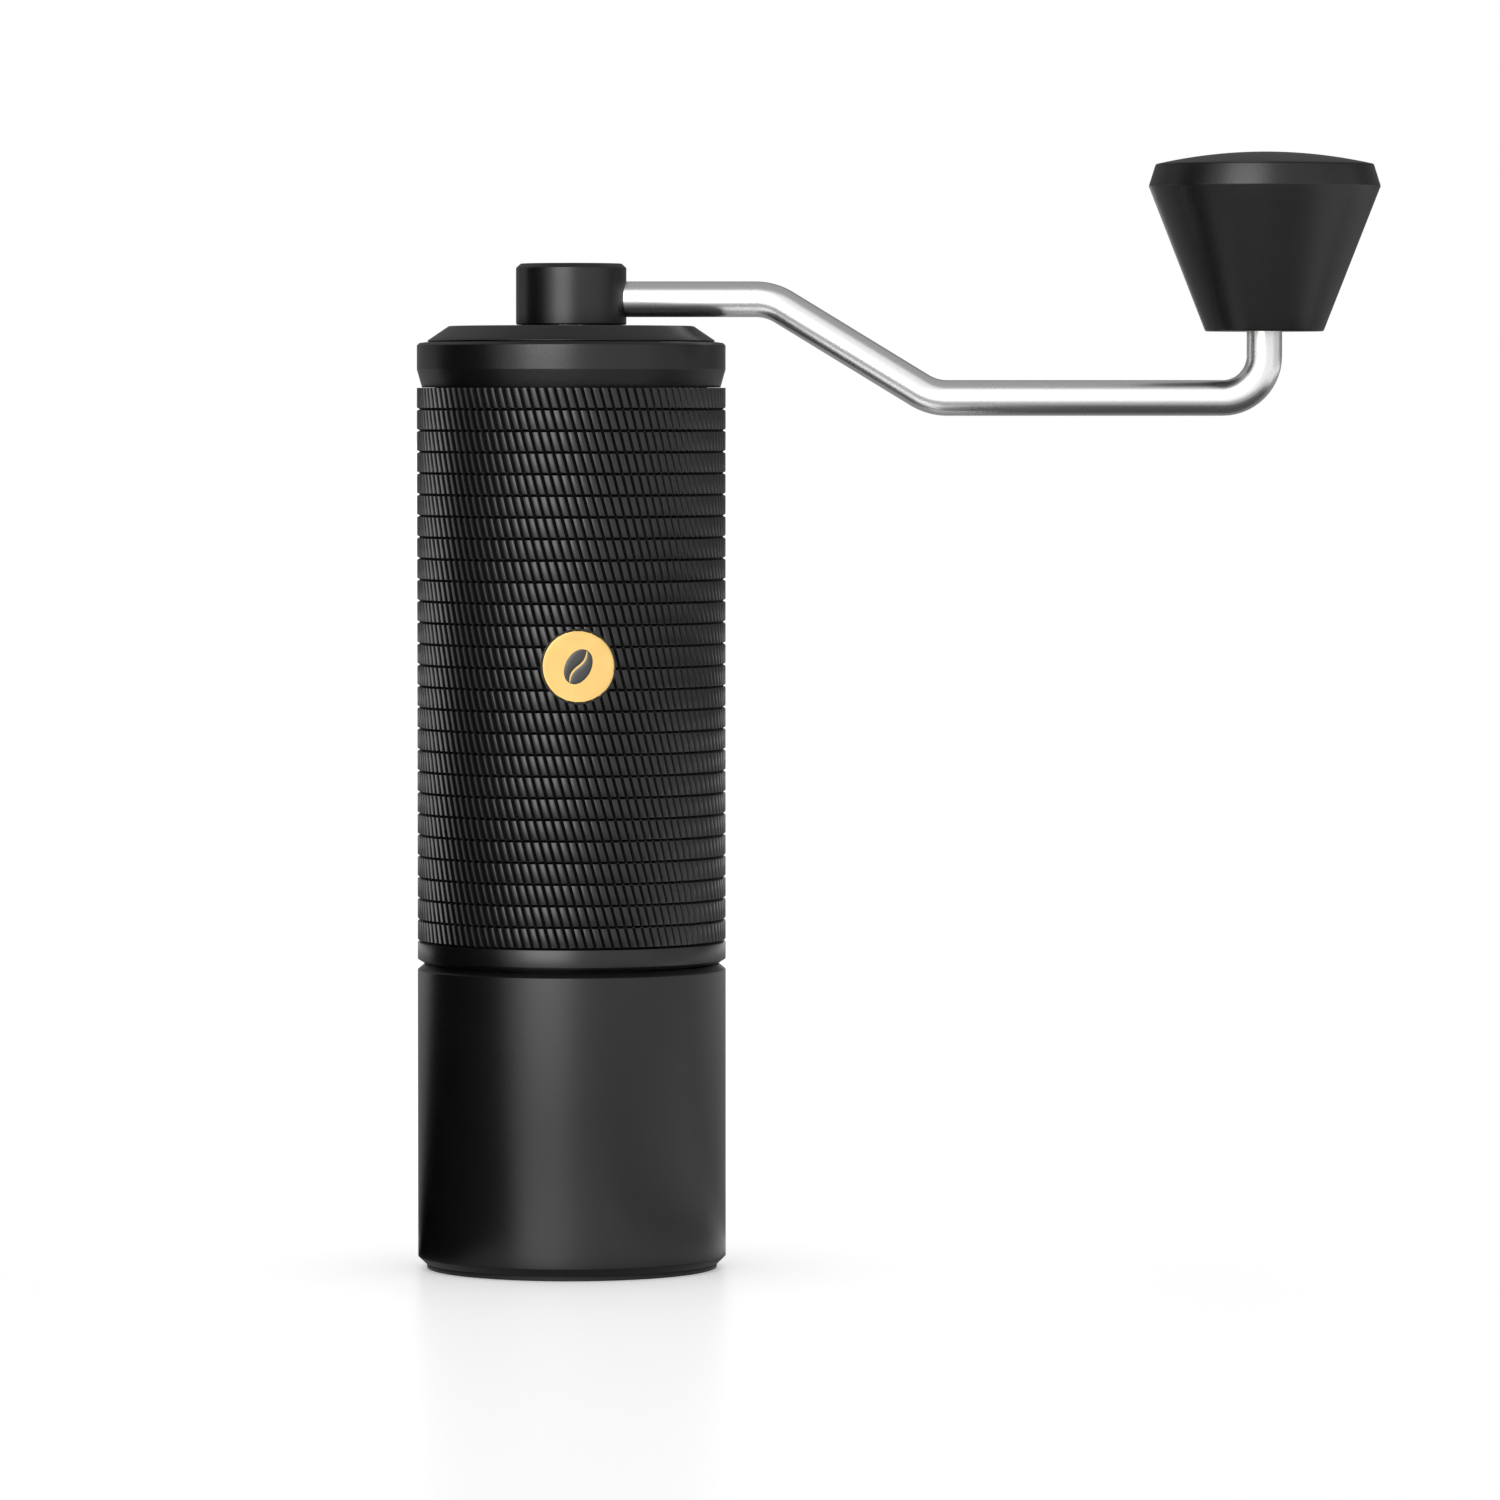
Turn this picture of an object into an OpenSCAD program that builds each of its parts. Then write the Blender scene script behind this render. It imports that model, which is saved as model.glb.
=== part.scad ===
// Hand crank coffee grinder: a knurled cylinder with a catch cup below, a hopper and a
// conical burr set inside, and a lift-off crank on top. Millimetres, +Z up the shaft.
// The origin is the centre of the base pad's underside; the crank arm points along +X.

/* [Body] */
// Outside diameter of the cup, the grip and the lid
body_d = 52; // [50:0.5:66]
// Wall of the knurled metal sleeve
sleeve_wall = 2; // [1.5:0.1:2.6]
// Wall of the inner plastic tube around the hopper
tube_wall = 2.4; // [2:0.1:3.4]
// Height of the metal sleeve, from the cup seam to the lid
sleeve_h = 96.9; // [94:0.5:150]
// Height of the plain band and of the knurled zone's lower edge above the seam
band_h = 3.8; // [2:0.2:8]
// Number of knurl rings up the sleeve
ring_count = 26; // [10:1:40]
// Width of one V groove between knurl rings
ring_groove_w = 0.5; // [0.3:0.1:0.8]

/* [Cup] */
// Height of the catch cup, without its base pad
cup_h = 50.5; // [46:0.5:80]
// Thickness of the cup floor
cup_floor = 2.7; // [2:0.1:5]
// Visible thickness of the rubber base pad
pad_t = 0.9; // [0.6:0.1:2]
// Length of the screwed spigot that enters the cup
spigot_h = 10; // [9:0.5:14]
// Wall between the outside of the cup and the tips of its thread
cup_wall = 3; // [2.6:0.1:4]
// Radial height of the cup thread
thread_h = 0.6; // [0.4:0.1:0.8]
// Pitch of the cup thread
thread_pitch = 1.5; // [1.2:0.1:2]

/* [Lid] */
// Height of the lid ring
lid_ring_h = 7.5; // [6:0.5:12]
// Height of the conical cap above the ring
lid_cap_h = 2.7; // [2:0.1:5]
// Radius of the flat on top of the cap
cap_top_r = 20.6; // [14:0.2:21]
// Depth of the lid's skirt inside the hopper mouth
skirt_h = 5; // [4:0.5:7]

/* [Drive] */
// Shaft diameter, the bore of the two bearings
shaft_d = 8; // [6:0.5:9]
// Outside diameter of the bearings
bearing_d = 16; // [15:0.5:19]
// Width of the bearings
bearing_w = 5; // [4:0.5:6]
// Balls in each bearing
ball_count = 9; // [6:1:10]
// Diameter of the bearing balls
ball_d = 1.8; // [1.4:0.1:2]
// Diameter of the threaded shaft end that carries the adjusting dial
thread_end_d = 6; // [5:0.5:6]
// Height of the drive hexagon above the lid
hex_h = 7.6; // [5:0.2:8]

/* [Burrs] */
// Outside diameter of the fixed ring burr
burr_d = 38; // [32:0.5:38]
// Height of the ring burr
burr_h = 16.4; // [12:0.2:18]
// Gap between the burrs at the finest setting
burr_gap = 0.3; // [0.2:0.05:0.6]
// Flutes that pull the beans in
flute_count = 6; // [4:1:8]
// Diameter of the adjusting dial
dial_d = 25; // [22:0.5:30]
// Height of the adjusting dial
dial_h = 6.6; // [5:0.2:8]
// Finger scallops round the dial
scallop_count = 24; // [12:1:36]
// Most that the dial lowers the inner burr
burr_travel = 1.5; // [0.5:0.1:2]

/* [Crank] */
// Diameter of the crank rod
rod_d = 6; // [5:0.5:8]
// Distance from the shaft to the knob axis
crank_r = 116.7; // [100:0.5:160]
// Distance from the shaft to the upper bend of the rod
bend_1_x = 33.6; // [28:0.2:40]
// Distance from the shaft to the lower bend of the rod
bend_2_x = 60.8; // [54:0.2:70]
// Drop of the rod between its two level runs
rod_drop = 16.6; // [8:0.2:20]
// Bend radius of the two slanting bends
bend_r = 9; // [7:0.5:11]
// Bend radius of the elbow under the knob
elbow_r = 7; // [6:0.5:9]
// Hub diameter
hub_d = 18.6; // [17.6:0.2:24]
// Hub height
hub_h = 10.3; // [10:0.1:14]

/* [Knob] */
// Largest diameter, at the shoulder
knob_d = 39; // [30:0.5:46]
// Diameter at the lower end
knob_neck_d = 19.9; // [17:0.1:24]
// Height of the cone, from the lower end to the shoulder
knob_cone_h = 24.4; // [22:0.2:34]
// Height of the bevel above the shoulder
knob_bevel_h = 3.5; // [2:0.1:5]
// Height of the dome above the bevel
knob_dome_h = 2.3; // [1:0.1:4]
// Height of the knob's lower end above the lower run of the rod
knob_lift = 11.2; // [10:0.2:16]

/* [Badge] */
// Diameter of the round badge
badge_d = 12; // [8:0.5:14]
// Height of the badge's centre above the seam
badge_z = 50.7; // [40:0.5:60]
// Turn of the badge from the front
badge_turn = 3.7; // [-10:0.1:10]

/* [Clearances] */
// Between parts that are screwed or lifted apart
part_gap = 0.2; // [0.1:0.05:0.3]
// Radial running clearance of turning and sliding fits
run_gap = 0.04; // [0.02:0.01:0.08]
// Radial clearance of parts pushed together for good
fit_gap = 0.03; // [0.02:0.01:0.06]

/* [Hidden] */
$fn = 96;
eps = 0.02;
body_r = body_d / 2;
shaft_r = shaft_d / 2;

// Heights, from the table up
cup_z = pad_t;
cup_top = cup_z + cup_h;
seam_z = cup_top + part_gap;
sleeve_top = seam_z + sleeve_h;
lid_z = sleeve_top + part_gap;
ring_top = lid_z + lid_ring_h;
lid_top = ring_top + lid_cap_h;
hub_z = lid_top + part_gap;

// Sleeve and tube
sleeve_in_r = body_r - sleeve_wall;
sleeve_edge = 1.1;
lip_h = 2;
lip_w = 0.8;
knurl_z = seam_z + band_h;
ring_pitch = (sleeve_top - knurl_z) / ring_count;
ring_groove_d = 0.25;
tube_r = sleeve_in_r - fit_gap;
tube_in_r = tube_r - tube_wall;
mouth_in_r = tube_in_r + 0.4;
tube_top = sleeve_top - lip_h;

// Cup and its thread
pad_r = body_r - 1.5;
plug_r = 18;
plug_h = 0.8;
cup_in_r = body_r - cup_wall;
thread_root_r = cup_in_r + thread_h;
spigot_crest_r = cup_in_r - part_gap;
spigot_r = spigot_crest_r - thread_h;
spigot_z = seam_z - spigot_h;
cup_inside_z = cup_z + cup_floor;
turn_count = 4;
thread_z = spigot_z + 1.6;
mouth_h = 2.3;
seal_z = seam_z - 1.1;
seal_r = 0.65;

// Burr set
burr_r = burr_d / 2;
burr_z = spigot_z;
burr_top = burr_z + burr_h;
retainer_t = 1.5;
retainer_z = burr_z - retainer_t;
ring_low_r = burr_r - 2;
ring_mid_r = burr_r - 3;
ring_high_r = burr_r - 6.2;
screw_r = 1;
screw_head_r = 1.8;
screw_head_h = 1.1;
screw_len = 6;
screw_pos_r = (burr_r + spigot_r) / 2;
cone_top = burr_top + 8;
cone_low_r = ring_low_r - burr_gap;
cone_mid_r = ring_mid_r - burr_gap;
cone_high_r = shaft_r + 3;
plate_t = 1.3;
plate_r = 9;
flat_half = 2.9;
drive_r = shaft_r - 0.4;

// Adjusting dial
dial_r = dial_d / 2;
dial_top = burr_z - plate_t - 0.2;
dial_z = dial_top - dial_h;
thread_end_r = thread_end_d / 2;
thread_end_top = burr_z + 0.6;
shaft_low = dial_z - burr_travel - 0.6;
detent_pos_r = 6.4;
detent_r = 1;
detent_h = 3;

// Brackets and bearings
bearing_r = bearing_d / 2;
bracket_h = bearing_w + 2;
bracket_hub_r = bearing_r + 1.8;
bracket_rim = 2;
spoke_w = 4;
ledge_z = cone_top + 7;
low_bracket_z = ledge_z;
clip_t = 0.9;
high_bracket_z = tube_top - skirt_h - bracket_h - 4.4;
ball_r = ball_d / 2;
ball_pos_r = (shaft_r + bearing_r) / 2;
race_gap = 0.6;
circlip_t = 1;
circlip_r = mouth_in_r + 0.7;

// Spring round the shaft
wire_r = 0.45;
spring_r = shaft_r + 0.4 + wire_r;
spring_low = cone_top;
spring_high = low_bracket_z + 1 - clip_t;
spring_turns = 5;

// Lid
skirt_r = mouth_in_r - 0.7;
skirt_wall = 1.8;
gasket_out_r = mouth_in_r - 0.3;
boss_r = sleeve_in_r - lip_w - 0.3;
boss_h = 1.2;
gasket_z = lid_z - skirt_h + 1.2;
gasket_t = 1.6;
cap_r = body_r - 1.7;
cap_seat_r = body_r - 4;
cap_wall = 1.6;
lid_hole_r = shaft_r + 1;
hex_top = lid_top + hex_h;

// Crank
hub_r = hub_d / 2;
hub_top = hub_z + hub_h;
hub_edge = 1.15;
rod_r = rod_d / 2;
rod_z = hub_z + 4.3;
rod_low_z = rod_z - rod_drop;
socket_r = shaft_r + 2.4;
socket_top = hex_top + 0.9;
slope = atan2(rod_drop, bend_2_x - bend_1_x);
bend_t = bend_r * tan(slope / 2);
bend_thinning = 0.01;

// Knob
knob_r = knob_d / 2;
knob_neck_r = knob_neck_d / 2;
knob_z = rod_low_z + knob_lift;
shoulder_z = knob_z + knob_cone_h;
bevel_top = shoulder_z + knob_bevel_h;
bevel_r = knob_r - 1.1;
knob_top = bevel_top + knob_dome_h;
dome_r = (bevel_r * bevel_r + knob_dome_h * knob_dome_h) / (2 * knob_dome_h);
stub_top = shoulder_z - 4;
bushing_r = rod_r + 1.5;
cavity_r = 6.4;
cap_plug_r = 12;
cap_plug_h = 1.6;
knob_screw_r = 1.5;
washer_r = 5.2;
washer_t = 0.8;

// Badge
badge_r = badge_d / 2;
badge_face = body_r - 0.4;
badge_t = 0.9;
badge_mid_z = seam_z + badge_z;
enamel_t = 0.2;

black = [0.1, 0.1, 0.105];
dark_plastic = [0.16, 0.16, 0.17];
steel = [0.75, 0.75, 0.76];
tool_steel = [0.55, 0.55, 0.57];
rubber = [0.07, 0.07, 0.07];
gold = [0.93, 0.78, 0.45];

// ---- shapes used more than once ----

// A ring of rectangular section between two radii and two heights
module ring(r_in, r_out, z_low, z_high) {
    rotate_extrude()
        translate([r_in, z_low])
            square([r_out - r_in, z_high - z_low]);
}

// Trapezoid thread ridges on radius r, standing out by h, stacked upwards from z
module thread_ridges(r, h, z) {
    rotate_extrude()
        for (i = [0 : turn_count - 1])
            translate([r, z + i * thread_pitch])
                polygon([[-eps, -0.5], [h, -0.2], [h, 0.2], [-eps, 0.5]]);
}

// One ring of balls
module ball_ring(z) {
    for (i = [0 : ball_count - 1])
        rotate([0, 0, i * 360 / ball_count])
            translate([ball_pos_r, 0, z])
                sphere(ball_r, $fn = 32);
}

// The race that the balls run in
module ball_race(z) {
    rotate_extrude()
        translate([ball_pos_r, z])
            circle(ball_r + run_gap, $fn = 48);
}

// A spoked bracket with a pocket for one bearing, standing at z, with its rim at r_out
module spoked_bracket(z, r_out) {
    difference() {
        union() {
            ring(r_out - bracket_rim, r_out, z, z + bracket_h);
            translate([0, 0, z])
                cylinder(h = bracket_h, r = bracket_hub_r);
            for (turn = [90, 210, 330])
                rotate([0, 0, turn])
                    translate([bracket_hub_r - 1, -spoke_w / 2, z + 1])
                        cube([r_out - bracket_hub_r - 0.2, spoke_w, bracket_h - 2]);
        }
        translate([0, 0, z + 1])
            cylinder(h = bracket_h, r = bearing_r + fit_gap);
        translate([0, 0, z - 1])
            cylinder(h = bracket_h, r = bearing_r - 0.9);
    }
}

module bearing_outer(z) {
    difference() {
        ring(ball_pos_r + race_gap, bearing_r, z, z + bearing_w);
        ball_race(z + bearing_w / 2);
    }
}

module bearing_inner(z) {
    difference() {
        ring(shaft_r + fit_gap, ball_pos_r - race_gap, z, z + bearing_w);
        ball_race(z + bearing_w / 2);
    }
}

// A round tube swept along a helix that climbs from z_low to z_high
module coil(r, wire, turns, z_low, z_high) {
    steps = turns * 14;
    sides = 8;
    rise = z_high - z_low - 2 * wire;
    points = [for (i = [0 : steps], k = [0 : sides - 1])
        let (turn = 360 * turns * i / steps, side = 360 * k / sides)
        [(r + wire * cos(side)) * cos(turn), (r + wire * cos(side)) * sin(turn),
            z_low + wire + rise * i / steps + wire * sin(side)]];
    walls = [for (i = [0 : steps - 1], k = [0 : sides - 1])
        let (next = (k + 1) % sides)
        [i * sides + k, (i + 1) * sides + k, (i + 1) * sides + next, i * sides + next]];
    first_end = [for (k = [0 : sides - 1]) k];
    last_end = [for (k = [0 : sides - 1]) steps * sides + sides - 1 - k];
    polyhedron(points, concat(walls, [first_end, last_end]), convexity = 10);
}

// ---- cup ----

module catch_cup() {
    color(black)
        difference() {
            rotate_extrude()
                polygon([
                    [0, cup_z + plug_h + fit_gap], [plug_r + fit_gap, cup_z + plug_h + fit_gap],
                    [plug_r + fit_gap, cup_z], [body_r - 1.25, cup_z], [body_r, cup_z + 1.2],
                    [body_r, cup_top - 1.3], [body_r - 1.15, cup_top],
                    [thread_root_r + 0.3, cup_top], [thread_root_r, cup_top - 0.4],
                    [thread_root_r, cup_top - mouth_h], [cup_in_r, cup_top - mouth_h - 0.5],
                    [cup_in_r, cup_inside_z + 2], [cup_in_r - 2, cup_inside_z],
                    [0, cup_inside_z]]);
            thread_ridges(cup_in_r, thread_h, thread_z);
        }
}

module base_pad() {
    color(rubber)
        rotate_extrude()
            polygon([
                [0, 0], [pad_r - 0.4, 0], [pad_r, 0.4], [pad_r, pad_t], [plug_r, pad_t],
                [plug_r, pad_t + plug_h], [0, pad_t + plug_h]]);
}

// ---- housing ----

module grip_sleeve() {
    groove_points = [for (i = [0 : ring_count - 1])
        let (z = knurl_z + i * ring_pitch)
        each [[body_r, z - ring_groove_w / 2], [body_r - ring_groove_d, z],
            [body_r, z + ring_groove_w / 2]]];
    color(black)
        difference() {
            rotate_extrude()
                polygon(concat(
                    [[sleeve_in_r, seam_z], [body_r - sleeve_edge, seam_z],
                        [body_r, seam_z + 0.7]],
                    groove_points,
                    [[body_r, sleeve_top - 0.4], [body_r - 0.4, sleeve_top],
                        [sleeve_in_r - lip_w, sleeve_top], [sleeve_in_r - lip_w, tube_top],
                        [sleeve_in_r, tube_top]]));
            rotate([90, 0, badge_turn])
                translate([0, badge_mid_z, badge_face - badge_t])
                    cylinder(h = 5, r = badge_r + 0.15);
        }
}

module inner_body() {
    color(dark_plastic)
        difference() {
            union() {
                rotate_extrude()
                    polygon([
                        [burr_r + fit_gap, burr_z], [spigot_r, burr_z], [spigot_r, seam_z],
                        [tube_r, seam_z], [tube_r, tube_top], [mouth_in_r, tube_top],
                        [mouth_in_r, high_bracket_z], [tube_in_r, high_bracket_z],
                        [tube_in_r, ledge_z], [tube_in_r - 1.5, ledge_z],
                        [ring_low_r, burr_top + 3], [ring_low_r, burr_top],
                        [burr_r + fit_gap, burr_top]]);
                thread_ridges(spigot_r, thread_h, thread_z);
            }
            rotate_extrude()
                translate([spigot_r, seal_z])
                    circle(seal_r, $fn = 48);
            ring(mouth_in_r - 1, circlip_r, high_bracket_z + bracket_h,
                high_bracket_z + bracket_h + circlip_t);
            for (turn = [30, 150, 270])
                rotate([0, 0, turn])
                    translate([screw_pos_r, 0, burr_z - 1])
                        cylinder(h = screw_len + 1, r = screw_r + fit_gap, $fn = 32);
        }
}

module cup_seal() {
    color(rubber)
        rotate_extrude()
            translate([spigot_r, seal_z])
                circle(seal_r, $fn = 48);
}

module badge_disc() {
    color(gold)
        rotate([90, 0, badge_turn])
            translate([0, badge_mid_z, badge_face])
                difference() {
                    rotate_extrude()
                        polygon([
                            [0, -badge_t], [badge_r, -badge_t], [badge_r, -0.2],
                            [badge_r - 0.2, 0], [0, 0]]);
                    translate([0, 0, -enamel_t])
                        bean_outline(badge_r * 0.9, 0, 1);
                }
}

// An almond lens between two arcs, as a prism of height h; inset shrinks it
module bean_outline(size, inset, h) {
    arc_r = size * 0.75;
    rotate([0, 0, 28])
        intersection() {
            translate([arc_r - size * 0.45, 0, 0])
                cylinder(h = h, r = arc_r - inset);
            translate([size * 0.45 - arc_r, 0, 0])
                cylinder(h = h, r = arc_r - inset);
        }
}

module badge_bean() {
    crease_r = badge_r * 1.1;
    color(black)
        rotate([90, 0, badge_turn])
            translate([0, badge_mid_z, badge_face - enamel_t])
                difference() {
                    bean_outline(badge_r * 0.9, fit_gap, enamel_t);
                    rotate([0, 0, 28])
                        translate([crease_r, 0, -1])
                            difference() {
                                cylinder(h = 2, r = crease_r + 0.25);
                                cylinder(h = 2, r = crease_r - 0.25);
                            }
                }
}

module upper_bracket() {
    color(dark_plastic)
        spoked_bracket(high_bracket_z, mouth_in_r - fit_gap);
}

module bracket_circlip() {
    color(steel)
        difference() {
            ring(mouth_in_r - 1.1, circlip_r - 0.1, high_bracket_z + bracket_h,
                high_bracket_z + bracket_h + circlip_t);
            translate([0, -3, high_bracket_z + bracket_h - 1])
                cube([body_r, 6, circlip_t + 2]);
        }
}

module upper_bearing_outer() {
    color(steel)
        bearing_outer(high_bracket_z + 1);
}

module lower_bracket() {
    color(dark_plastic)
        spoked_bracket(low_bracket_z, tube_in_r - fit_gap);
}

module lower_bearing_outer() {
    color(steel)
        bearing_outer(low_bracket_z + 1);
}

module ring_burr() {
    color(tool_steel)
        difference() {
            rotate_extrude()
                polygon([
                    [ring_low_r, burr_z], [burr_r, burr_z], [burr_r, burr_top],
                    [ring_high_r, burr_top], [ring_mid_r, burr_z + 5]]);
            for (i = [0 : flute_count * 2 - 1])
                rotate([0, 0, i * 180 / flute_count])
                    translate([ring_mid_r - 1.5, 0, burr_z + 6])
                        rotate([0, -12, 24])
                            cube([3, 1.6, burr_h]);
        }
}

module burr_retainer() {
    color(steel)
        difference() {
            ring(ring_low_r + 0.3, spigot_r, retainer_z, burr_z);
            for (turn = [30, 150, 270])
                rotate([0, 0, turn])
                    translate([screw_pos_r, 0, retainer_z - 1])
                        cylinder(h = retainer_t + 2, r = screw_r + fit_gap, $fn = 32);
        }
}

module retainer_screws() {
    color(steel)
        for (turn = [30, 150, 270])
            rotate([0, 0, turn])
                translate([screw_pos_r, 0, retainer_z])
                    difference() {
                        union() {
                            cylinder(h = retainer_t + screw_len - 0.5, r = screw_r, $fn = 32);
                            translate([0, 0, -screw_head_h])
                                cylinder(h = screw_head_h, r = screw_head_r, $fn = 32);
                        }
                        translate([0, 0, -screw_head_h - 1])
                            cylinder(h = 1.7, r = 0.85, $fn = 6);
                    }
}

// ---- lid ----

module lid_ring() {
    color(black)
        rotate_extrude()
            polygon([
                [skirt_r - skirt_wall, lid_z - skirt_h], [skirt_r, lid_z - skirt_h],
                [skirt_r, gasket_z], [skirt_r - 0.8, gasket_z],
                [skirt_r - 0.8, gasket_z + gasket_t], [skirt_r, gasket_z + gasket_t],
                [skirt_r, lid_z - boss_h], [boss_r, lid_z - boss_h], [boss_r, lid_z],
                [body_r - 0.85, lid_z], [body_r, lid_z + 2.9],
                [body_r, ring_top - 0.6], [body_r - 0.3, ring_top - 0.25],
                [cap_r + 0.1, ring_top], [cap_r - 0.5, ring_top - 0.1],
                [cap_seat_r, ring_top - 0.1], [cap_seat_r, ring_top - 2.5],
                [skirt_r - skirt_wall, ring_top - 2.5]]);
}

module lid_cap() {
    color(black)
        rotate_extrude()
            polygon([
                [lid_hole_r, lid_top - cap_wall], [cap_top_r - 1, lid_top - cap_wall],
                [cap_seat_r - 2, ring_top - 0.4], [cap_seat_r - 2, ring_top - 2.5],
                [cap_seat_r - fit_gap, ring_top - 2.5], [cap_seat_r - fit_gap, ring_top - 0.1],
                [cap_r - 0.5, ring_top - 0.1], [cap_r, ring_top + 0.2],
                [cap_top_r, lid_top], [lid_hole_r, lid_top]]);
}

module lid_gasket() {
    color(rubber)
        ring(skirt_r - 0.8, gasket_out_r, gasket_z + 0.1, gasket_z + gasket_t - 0.1);
}

// ---- rotor ----

module drive_shaft() {
    color(steel)
        union() {
            translate([0, 0, shaft_low])
                cylinder(h = thread_end_top - shaft_low, r = thread_end_r);
            intersection() {
                translate([0, 0, thread_end_top])
                    cylinder(h = cone_top - thread_end_top, r = drive_r);
                translate([-drive_r, -flat_half, thread_end_top])
                    cube([2 * drive_r, 2 * flat_half, cone_top - thread_end_top]);
            }
            translate([0, 0, cone_top])
                cylinder(h = lid_top - cone_top, r = shaft_r);
            translate([0, 0, lid_top])
                cylinder(h = hex_h, r = shaft_r, $fn = 6);
        }
}

module upper_bearing_inner() {
    color(steel)
        bearing_inner(high_bracket_z + 1);
}

module lower_bearing_inner() {
    color(steel)
        bearing_inner(low_bracket_z + 1);
}

// Two retaining rings, above the upper bearing and below the lower one
module shaft_clips() {
    color(steel)
        for (z = [low_bracket_z + 1 - clip_t, high_bracket_z + 1 + bearing_w])
            ring(shaft_r + fit_gap, ball_pos_r - race_gap, z, z + clip_t);
}

module burr_spring() {
    color(steel)
        coil(spring_r, wire_r, spring_turns, spring_low, spring_high);
}

module upper_bearing_balls() {
    color(steel)
        ball_ring(high_bracket_z + 1 + bearing_w / 2);
}

module lower_bearing_balls() {
    color(steel)
        ball_ring(low_bracket_z + 1 + bearing_w / 2);
}

// ---- inner burr and adjuster ----

module inner_burr() {
    color(tool_steel)
        difference() {
            rotate_extrude()
                polygon([
                    [0, burr_z], [cone_low_r - 0.1, burr_z], [cone_mid_r, burr_z + 5],
                    [ring_high_r - burr_gap - 3, burr_top], [cone_high_r, cone_top],
                    [0, cone_top]]);
            intersection() {
                translate([0, 0, burr_z - 1])
                    cylinder(h = cone_top - burr_z + 2, r = drive_r + run_gap);
                translate([-drive_r - 1, -flat_half - run_gap, burr_z - 1])
                    cube([2 * drive_r + 2, 2 * (flat_half + run_gap), cone_top - burr_z + 2]);
            }
            translate([0, 0, burr_z - 1])
                cylinder(h = thread_end_top - burr_z + burr_travel + 1.5,
                    r = max(thread_end_r, drive_r) + 0.2);
            for (i = [0 : flute_count - 1])
                rotate([0, 0, i * 360 / flute_count])
                    translate([cone_high_r - 1, 0, burr_z + 8])
                        rotate([0, -16, 30])
                            cube([7, 3.2, cone_top - burr_z]);
        }
}

module detent_plate() {
    color(steel)
        difference() {
            ring(drive_r + 0.4, plate_r, burr_z - plate_t, burr_z);
            rotate_extrude()
                translate([detent_pos_r, dial_top - 0.4])
                    circle(detent_r + run_gap, $fn = 48);
        }
}

module adjusting_dial() {
    color(dark_plastic)
        difference() {
            rotate_extrude()
                polygon([
                    [thread_end_r + run_gap, dial_z], [dial_r - 1, dial_z],
                    [dial_r, dial_z + 1], [dial_r, dial_top - 0.6],
                    [dial_r - 0.6, dial_top], [thread_end_r + run_gap, dial_top]]);
            for (i = [0 : scallop_count - 1])
                rotate([0, 0, i * 360 / scallop_count])
                    translate([dial_r + 0.5, 0, dial_z - 1])
                        cylinder(h = dial_h + 2, r = 1.1, $fn = 24);
            for (turn = [0, 180])
                rotate([0, 0, turn])
                    translate([detent_pos_r, 0, dial_top - 0.4 - detent_h])
                        cylinder(h = detent_h + 1, r = detent_r + run_gap, $fn = 32);
        }
}

module detent_balls() {
    color(steel)
        for (turn = [0, 180])
            rotate([0, 0, turn])
                translate([detent_pos_r, 0, dial_top - 0.4])
                    sphere(detent_r, $fn = 32);
}

module detent_springs() {
    color(steel)
        for (turn = [0, 180])
            rotate([0, 0, turn])
                translate([detent_pos_r, 0, 0])
                    coil(detent_r - 0.35, 0.2, 3, dial_top - 0.4 - detent_h, dial_top - 1.35);
}

// ---- crank ----

module crank_hub() {
    color(black)
        difference() {
            rotate_extrude()
                polygon([
                    [socket_r + fit_gap, hub_z], [hub_r, hub_z],
                    [hub_r, hub_top - hub_edge], [hub_r - hub_edge, hub_top],
                    [0, hub_top], [0, socket_top], [socket_r + fit_gap, socket_top]]);
            translate([socket_r - 1, 0, rod_z])
                rotate([0, 90, 0])
                    cylinder(h = hub_r, r = rod_r + fit_gap);
        }
}

module hub_socket() {
    color(steel)
        difference() {
            translate([0, 0, hub_z])
                cylinder(h = socket_top - hub_z, r = socket_r);
            translate([0, 0, hub_z - 1])
                cylinder(h = hex_top + 0.3 - hub_z + 1, r = shaft_r + run_gap + 0.03, $fn = 6);
        }
}

// A bend of the rod in the XZ plane: centre, bend radius, first angle and sweep. It is a
// hair thinner than the straight runs, so that their ends close over it cleanly.
module rod_bend(x, z, r, first, sweep) {
    translate([x, 0, z])
        rotate([90, 0, 0])
            rotate([0, 0, first])
                rotate_extrude(angle = sweep)
                    translate([r, 0])
                        circle(rod_r - bend_thinning, $fn = 48);
}

// A straight run of the rod from (x, z), tilted down from level by the angle. Each end
// enters the next bend by a hair, so that the pieces join.
module rod_run(x, z, tilt, len) {
    translate([x, 0, z])
        rotate([0, 90 + tilt, 0])
            translate([0, 0, -eps])
                cylinder(h = len + 2 * eps, r = rod_r, $fn = 48);
}

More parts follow.
